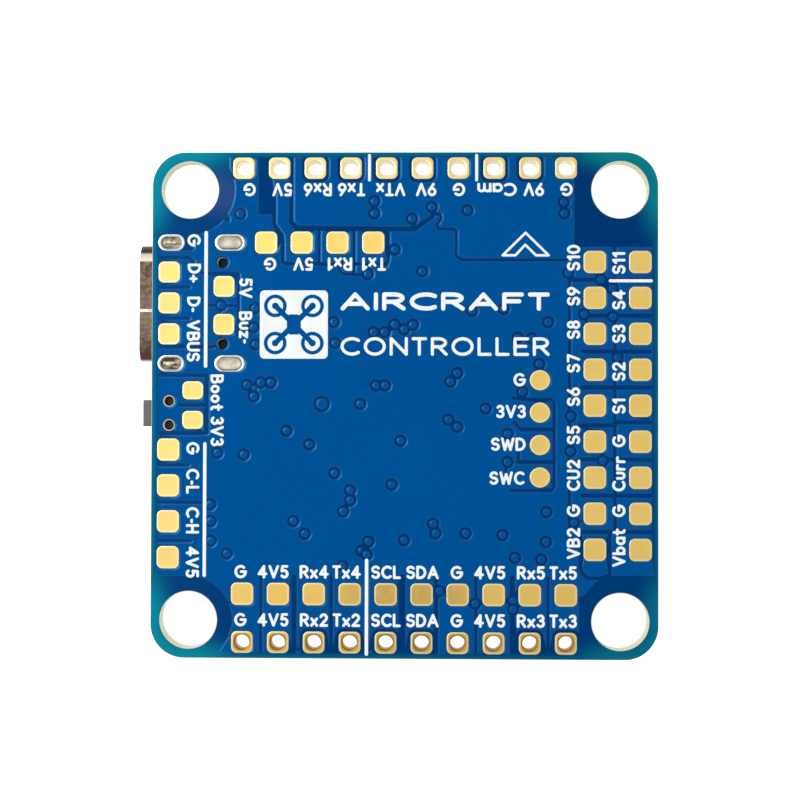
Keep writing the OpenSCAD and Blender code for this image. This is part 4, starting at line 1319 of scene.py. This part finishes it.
def pillow(build, lo, hi, corner, ease, grow, steps=3):
    """A block with rounded upright corners and eased upper and lower edges."""
    c = (lo + hi) / 2
    s = hi - lo + 2 * grow
    e = min(ease, s[2] / 2.2, s[0] / 2.2, s[1] / 2.2)
    r = max(corner, e + 0.01)
    rings = []
    for z, sign in ((lo[2] - grow, 1), (hi[2] + grow, -1)):
        part = []
        for k in range(steps + 1):
            a = math.pi / 2 * k / steps
            inset = e * (1 - math.sin(a))
            part.append(lifted(rounded(c[0], c[1], s[0] - 2 * inset, s[1] - 2 * inset,
                                       max(r - inset, 0.01), 4), z + sign * e * (1 - math.cos(a))))
        rings += part if sign > 0 else part[::-1]
    stacked(build, rings)


def blocks(node, corner, ease, material, grow=0.0):
    build = Build()
    for lo, hi in boxes(node):
        pillow(build, lo, hi, corner, ease, grow)
    obj = finish_object(node + "_body", build.v, build.f, [MATERIAL[material]], smooth=45)
    m = obj.modifiers.new("weighted", "WEIGHTED_NORMAL")
    m.keep_sharp = True
    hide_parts(node)


def packages(node, dimple):
    """Moulded packages: drafted sides, a parting line, an eased face and a round pin 1 mark."""
    build = Build()
    for lo, hi in boxes(node):
        c, s = (lo + hi) / 2, hi - lo
        d = min(0.1, s[2] * 0.16)
        mid = (lo[2] + hi[2]) / 2
        rings = []
        for inset, z in ((d + 0.04, hi[2]), (d, hi[2] - 0.03), (0.02, mid + 0.03), (0.0, mid + 0.02),
                         (0.0, mid - 0.02), (0.02, mid - 0.03), (d, lo[2] + 0.05), (d + 0.02, lo[2] + 0.02),
                         (d + 0.06, lo[2])):
            rings.append(lifted(rounded(c[0], c[1], s[0] - 2 * inset, s[1] - 2 * inset,
                                        0.1 + 0.4 * inset, 4), z))
        ids = [build.ring(r) for r in rings]
        build.cap(ids[0])
        for a, b in zip(ids, ids[1:]):
            build.band(b, a)
        face = ids[-1]
        if dimple and min(s[0], s[1]) > 1.5:
            r = min(dimple, 0.13 * min(s[0], s[1]))
            px = c[0] - (s[0] / 2 - d - 2.1 * r)
            py = c[1] + (s[1] / 2 - d - 2.1 * r)
            rim = circle(px, py, r, 24)
            co, tri, goes = triangulated([np.array([build.v[k][:2] for k in face]), np.array(rim)])
            rim_ids = build.ring(lifted(rim, lo[2]))
            source = face + rim_ids
            back = {int(goes[k]): source[k] for k in range(len(source))}
            for t in tri:
                m = co[t].mean(axis=0)
                if math.hypot(m[0] - px, m[1] - py) > r * 0.99:
                    build.cap([back[int(k)] for k in t[::-1]])
            sunk = build.ring(lifted(circle(px, py, r - 0.02, 24), lo[2] + 0.02))
            floor = build.ring(lifted(circle(px, py, r - 0.06, 24), lo[2] + 0.045))
            build.band(sunk, rim_ids)
            build.band(floor, sunk)
            build.cap(floor[::-1])
        else:
            build.cap(face[::-1])
    obj = finish_object(node + "_moulded", build.v, build.f, [MATERIAL["chip"]], smooth=32)
    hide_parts(node)


LEADED = {
    "mcu_leads": 0.09, "osd_leads": 0.1, "flash_contacts": 0.12, "can_leads": 0.12, "buck_leads": 0.1,
    "regulator_leads": 0.1, "transistor_leads": 0.1, "diode_leads": 0.12, "chip_end_caps": 0.1,
    "inductor_terminals": 0.15, "button_terminals": 0.1, "usb_contacts": 0.09,
    "esc_socket_contacts": 0.12, "video_socket_contacts": 0.12, "can_socket_contacts": 0.12,
    "socket_solder_tabs": 0.15,
}
TRACKED_LEADS = ("mcu_leads", "osd_leads", "flash_contacts", "can_leads", "buck_leads",
                 "regulator_leads")
FACE_Z = -BOARD_T


def feet():
    """Where each lead stands on the component face: (lowest, highest x and y, margin of its solder)."""
    out = []
    for node, margin in LEADED.items():
        for v in solids(node):
            low = v[v[:, 2] > FACE_Z - 0.16]
            if len(low):
                out.append((low[:, :2].min(0), low[:, :2].max(0), margin, node))
    for lo, hi in boxes("crystal_bases"):
        for sx in (0, 1):
            for sy in (0, 1):
                x = (lo[0] + 0.1, hi[0] - 1.0)[sx]
                y = (lo[1] + 0.1, hi[1] - 0.9)[sy]
                out.append((np.array((x, y)), np.array((x + 0.9, y + 0.8)), 0.12, "crystal_bases"))
    for lo, hi in boxes("led_bases"):
        for x in (lo[0], hi[0] - 0.35):
            out.append((np.array((x, lo[1] + 0.05)), np.array((x + 0.35, hi[1] - 0.05)), 0.12, "led_bases"))
    return out


FEET = feet()


def foot_slabs(extra, corner=0.0):
    """A box round the solder of every foot, wider than it by extra."""
    out = []
    for lo, hi, margin, _ in FEET:
        g = margin + extra
        out.append(slab(lo[0] - g, lo[1] - g, hi[0] + g, hi[1] + g, corner))
    return out


def solder_joints():
    """A small meniscus round every foot."""
    build = Build()
    for lo, hi, margin, node in FEET:
        c, s = (lo + hi) / 2, hi - lo
        rise = 0.13 if node != "inductor_terminals" else 0.08
        rings = []
        for grow, z in ((margin, 0.0), (margin, 0.046), (margin * 0.86, 0.058), (margin * 0.45, 0.075),
                        (margin * 0.12, rise), (0.0, rise + 0.01)):
            w, h = s[0] + 2 * grow, s[1] + 2 * grow
            rings.append(lifted(rounded(c[0], c[1], w, h, min(0.06, w / 2.5, h / 2.5), 3), FACE_Z - z))
        stacked(build, [r[::-1] for r in rings])
    obj = finish_object("solder_joints", build.v, build.f, [MATERIAL["solder"]], smooth=70)


# ---------------------------------------------------------------- the component face's copper

def bent(p, q):
    """A track from p to q: a straight run, then 45 degrees."""
    (x0, y0), (x1, y1) = p, q
    dx, dy = x1 - x0, y1 - y0
    k = min(abs(dx), abs(dy))
    if abs(dx) > abs(dy):
        knee = (x1 - math.copysign(k, dx), y0)
    else:
        knee = (x0, y1 - math.copysign(k, dy))
    return [p, knee, q]


def component_face_voids():
    f = copper_field()
    for x, y in [(sx * HOLE_AT, sy * HOLE_AT) for sx in (-1, 1) for sy in (-1, 1)]:
        f.add(disc(x, y, 3.15))
    tracks = []
    rng = random.Random(11)
    ends = list(VIAS)
    rng.shuffle(ends)
    starts = [(lo + hi) / 2 for lo, hi, _, node in FEET if node in TRACKED_LEADS]
    taken = set()
    for centre in starts:
        near = sorted(ends, key=lambda e: math.hypot(e[0] - centre[0], e[1] - centre[1]))
        for e in near[:6]:
            if e not in taken and 0.9 < math.hypot(e[0] - centre[0], e[1] - centre[1]) < 6.5:
                taken.add(e)
                tracks.append(bent((float(centre[0]), float(centre[1])), e))
                break
    for t in tracks:
        f.add(*path(t, 0.46))
    f.add(*foot_slabs(0.14, 0.1))
    for x, y in VIAS:
        f.add(disc(x, y, 0.46))
    for t in tracks:
        f.cut(*path(t, 0.2))
    for x, y in VIAS:
        f.cut(disc(x, y, 0.25))
    for x, y in [(x, s * ROW_Y) for x in ROW_X for s in (-1, 1)]:
        f.add(slab(x - 0.98, y - 0.98, x + 0.98, y + 0.98, 0.5))
    f.add(*stadiums(0.2))
    f.add(*foot_slabs(0.03, 0.08))
    f.add(*discs(peg_holes, 0.3))
    f.add(*discs(mounting_holes, 0.4))
    return f


def component_face_legend():
    """Outlines of the larger parts, with a dot at pin 1."""
    f = Field((-HALF, -HALF), (HALF, HALF), LEGEND_STEP)
    for node, gap in (("mcu_package", 1.35), ("osd_package", 0.3), ("flash_package", 0.35),
                      ("can_package", 0.3), ("imu_package", 0.25), ("inductor_bodies", 0.3),
                      ("crystal_bases", 0.28), ("large_capacitors", 0.3)):
        for lo, hi in boxes(node):
            x0, y0, x1, y1 = lo[0] - gap, lo[1] - gap, hi[0] + gap, hi[1] + gap
            if node == "large_capacitors" and hi[0] - lo[0] + hi[1] - lo[1] < 3:
                continue
            reach = min(1.0, (x1 - x0) / 3)
            for x, y, sx, sy in ((x0, y0, 1, 1), (x1, y0, -1, 1), (x1, y1, -1, -1), (x0, y1, 1, -1)):
                f.add(*path([(x + sx * reach, y), (x, y), (x, y + sy * reach)], 0.14))
            if node.endswith("package"):
                f.add(disc(x0 - 0.02, y1 + 0.32, 0.16))
    f.cut(*foot_slabs(0.12))
    f.cut(*discs(peg_holes + wire_holes, 0.35))
    for lo, hi in slot_boxes:
        f.cut(slab(lo[0] - 0.15, lo[1] - 0.15, hi[0] + 0.15, hi[1] + 0.15))
    return f


# ---------------------------------------------------------------- building it all

make_board(pad_face_voids(), component_face_voids())
ink("pad_face_legend", pad_face_legend(), Z_COPPER)
ink("component_face_legend", component_face_legend(), Z_COPPER, side=-1)

for node in PADS:
    flat_pads(node, (lambda s: s[0] / 2 - 0.001) if node == "test_pads" else (lambda s: PAD_CORNER))
for node in THROUGH:
    through_pads(node)
slot_lands()
solder_joints()

eased("usb_shell", 0.06, "shell", angle=40)
eased("usb_insulator", 0.03, "usb_black", angle=40)
eased("usb_contacts", 0.02, "contact")
eased("usb_shield_plate", 0.03, "steel")
eased("button_housing", 0.02, "button_black", angle=40)
eased("button_cover", 0.03, "steel")
eased("button_plunger", 0.06, "plunger", rides="button")
eased("button_terminals", 0.03, "tin")
for node, size in (("mcu_package", 0.4), ("osd_package", 0.3), ("flash_package", 0.35), ("can_package", 0.25),
                   ("imu_package", 0.15), ("buck_packages", 0.14), ("regulator_packages", 0.0),
                   ("transistor_packages", 0.0)):
    packages(node, dimple=size)
packages("diode_bodies", dimple=0.0)
for node in TRACKED_LEADS + ("transistor_leads", "diode_leads"):
    eased(node, 0.022, "tin", segments=1)
blocks("barometer_base", 0.05, 0.03, "substrate")
eased("barometer_lid", 0.05, "lid", angle=40)
blocks("crystal_bases", 0.12, 0.05, "ceramic")
blocks("crystal_lids", 0.16, 0.06, "lid")
blocks("inductor_bodies", 0.5, 0.12, "inductor")
blocks("inductor_terminals", 0.06, 0.02, "tin")
blocks("large_capacitors", 0.05, 0.03, "capacitor")
blocks("small_capacitors", 0.03, 0.02, "capacitor")
blocks("small_resistors", 0.03, 0.02, "resistor")
blocks("chip_end_caps", 0.06, 0.05, "tin", grow=0.012)
blocks("led_bases", 0.04, 0.02, "led_white")
blocks("led_lenses", 0.08, 0.07, "resin")
for node in ("esc_socket_housing", "video_socket_housing", "can_socket_housing"):
    eased(node, 0.05, "ivory", angle=40)
for node in ("esc_socket_contacts", "video_socket_contacts", "can_socket_contacts"):
    eased(node, 0.03, "contact")
eased("socket_solder_tabs", 0.03, "tin")


def snap_dome():
    """The dished spring behind the plunger, built in its resting shape; the real one flattens as it is
    pressed.
    """
    lo, hi = box_mm("button_dome")
    c = (lo + hi) / 2
    r = (hi[1] - lo[1]) / 2
    rise = hi[0] - lo[0]
    t = 0.06
    build = Build()
    rows = []
    steps, sides = 10, 40
    for k in range(steps + 1):
        u = math.sin(math.pi / 2 * k / steps)
        rows.append((r * u, lo[0] + rise * u * u * 0.93))
    back = [(q, x + t) for q, x in rows[::-1]]
    rings = []
    for q, x in rows[1:] + back[:-1]:
        rings.append([(min(x, hi[0]), c[1] + q * math.cos(a), c[2] + q * math.sin(a))
                      for a in (2 * math.pi * j / sides for j in range(sides))])
    ids = [build.ring(p) for p in rings]
    tip = build.ring([(rows[0][1], c[1], c[2])])[0]
    tail = build.ring([(back[-1][1], c[1], c[2])])[0]
    for k in range(sides):
        build.cap((tip, ids[0][(k + 1) % sides], ids[0][k]))
        build.cap((tail, ids[-1][k], ids[-1][(k + 1) % sides]))
    for a, b in zip(ids, ids[1:]):
        for k in range(sides):
            build.cap((a[k], a[(k + 1) % sides], b[(k + 1) % sides], b[k]))
    obj = finish_object("button_snap_dome", build.v, build.f, [MATERIAL["steel"]], smooth=40)
    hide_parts("button_dome")
    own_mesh(obj)


snap_dome()

# ---------------------------------------------------------------- floor, light and camera

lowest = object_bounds()[0][2] / MM


def floor_plane():
    radius, sides = 6000.0, 64
    z = lowest - 0.02
    rim = [(radius * math.cos(2 * math.pi * k / sides), radius * math.sin(2 * math.pi * k / sides), z)
           for k in range(sides)]
    obj = finish_object("floor", rim, [tuple(range(sides))], [paper()], rides=None)


def paper():
    s = Shader("paper")
    n = s.noise(40, 4.0)
    s.set(Base_Color=s.mix(s.span(n, 0.3, 0.7), (0.86, 0.86, 0.86), (0.9, 0.9, 0.9)), Roughness=0.95,
          Emission_Color=(1.0, 1.0, 1.0), Emission_Strength=0.7)
    s.bsdf.inputs["Specular IOR Level"].default_value = 0.0
    side = s.t.nodes.new("ShaderNodeNewGeometry")
    clear = s.t.nodes.new("ShaderNodeBsdfTransparent")
    either = s.t.nodes.new("ShaderNodeMixShader")
    s.t.links.new(side.outputs["Backfacing"], either.inputs[0])
    s.t.links.new(s.bsdf.outputs[0], either.inputs[1])
    s.t.links.new(clear.outputs[0], either.inputs[2])
    s.t.links.new(either.outputs[0], s.out.inputs["Surface"])
    return s.mat


def softbox(name, at, across, along, power):
    """A rectangular lamp that faces the board's centre."""
    data = bpy.data.lights.new(name, "AREA")
    data.shape = "RECTANGLE"
    data.size = across * MM
    data.size_y = along * MM
    data.energy = power
    obj = bpy.data.objects.new(name, data)
    obj.location = Vector(at) * MM
    obj.rotation_euler = (-Vector(at)).to_track_quat("-Z", "Y").to_euler()
    bpy.context.scene.collection.objects.link(obj)


def surroundings():
    """A plain white room, a little brighter to the upper left."""
    world = bpy.data.worlds.new("room")
    bpy.context.scene.world = world
    world.use_nodes = True
    t = world.node_tree
    back = t.nodes["Background"]
    coord = t.nodes.new("ShaderNodeTexCoord")
    toward = t.nodes.new("ShaderNodeVectorMath")
    toward.operation = "DOT_PRODUCT"
    toward.inputs[1].default_value = Vector((-0.62, 0.42, 0.66)).normalized()
    t.links.new(coord.outputs["Generated"], toward.inputs[0])
    ramp = t.nodes.new("ShaderNodeMapRange")
    for k, x in ((1, 0.1), (2, 0.95), (3, 0.63), (4, 0.75)):
        ramp.inputs[k].default_value = x
    t.links.new(toward.outputs["Value"], ramp.inputs[0])
    t.links.new(ramp.outputs[0], back.inputs["Strength"])
    back.inputs["Color"].default_value = (1.0, 1.0, 1.0, 1.0)


def camera():
    cam = bpy.data.objects.new("camera", bpy.data.cameras.new("camera"))
    bpy.context.scene.collection.objects.link(cam)
    cam.data.lens = 61.7
    cam.data.sensor_width = 36.0
    cam.data.clip_start = 0.001
    cam.data.clip_end = 10.0
    turn = Vector((math.radians(1.0083), math.radians(1.0433), math.radians(0.1405)))
    cam.matrix_world = (Matrix.Translation(Vector((1.4755, -1.3669, 97.03)) * MM)
                        @ Matrix.Rotation(turn.length, 4, turn.normalized()))
    bpy.context.scene.camera = cam


floor_plane()
softbox("key", (-117, 47, 176), 105, 84, 0.16)
surroundings()
camera()
bpy.context.scene.view_settings.view_transform = "Standard"
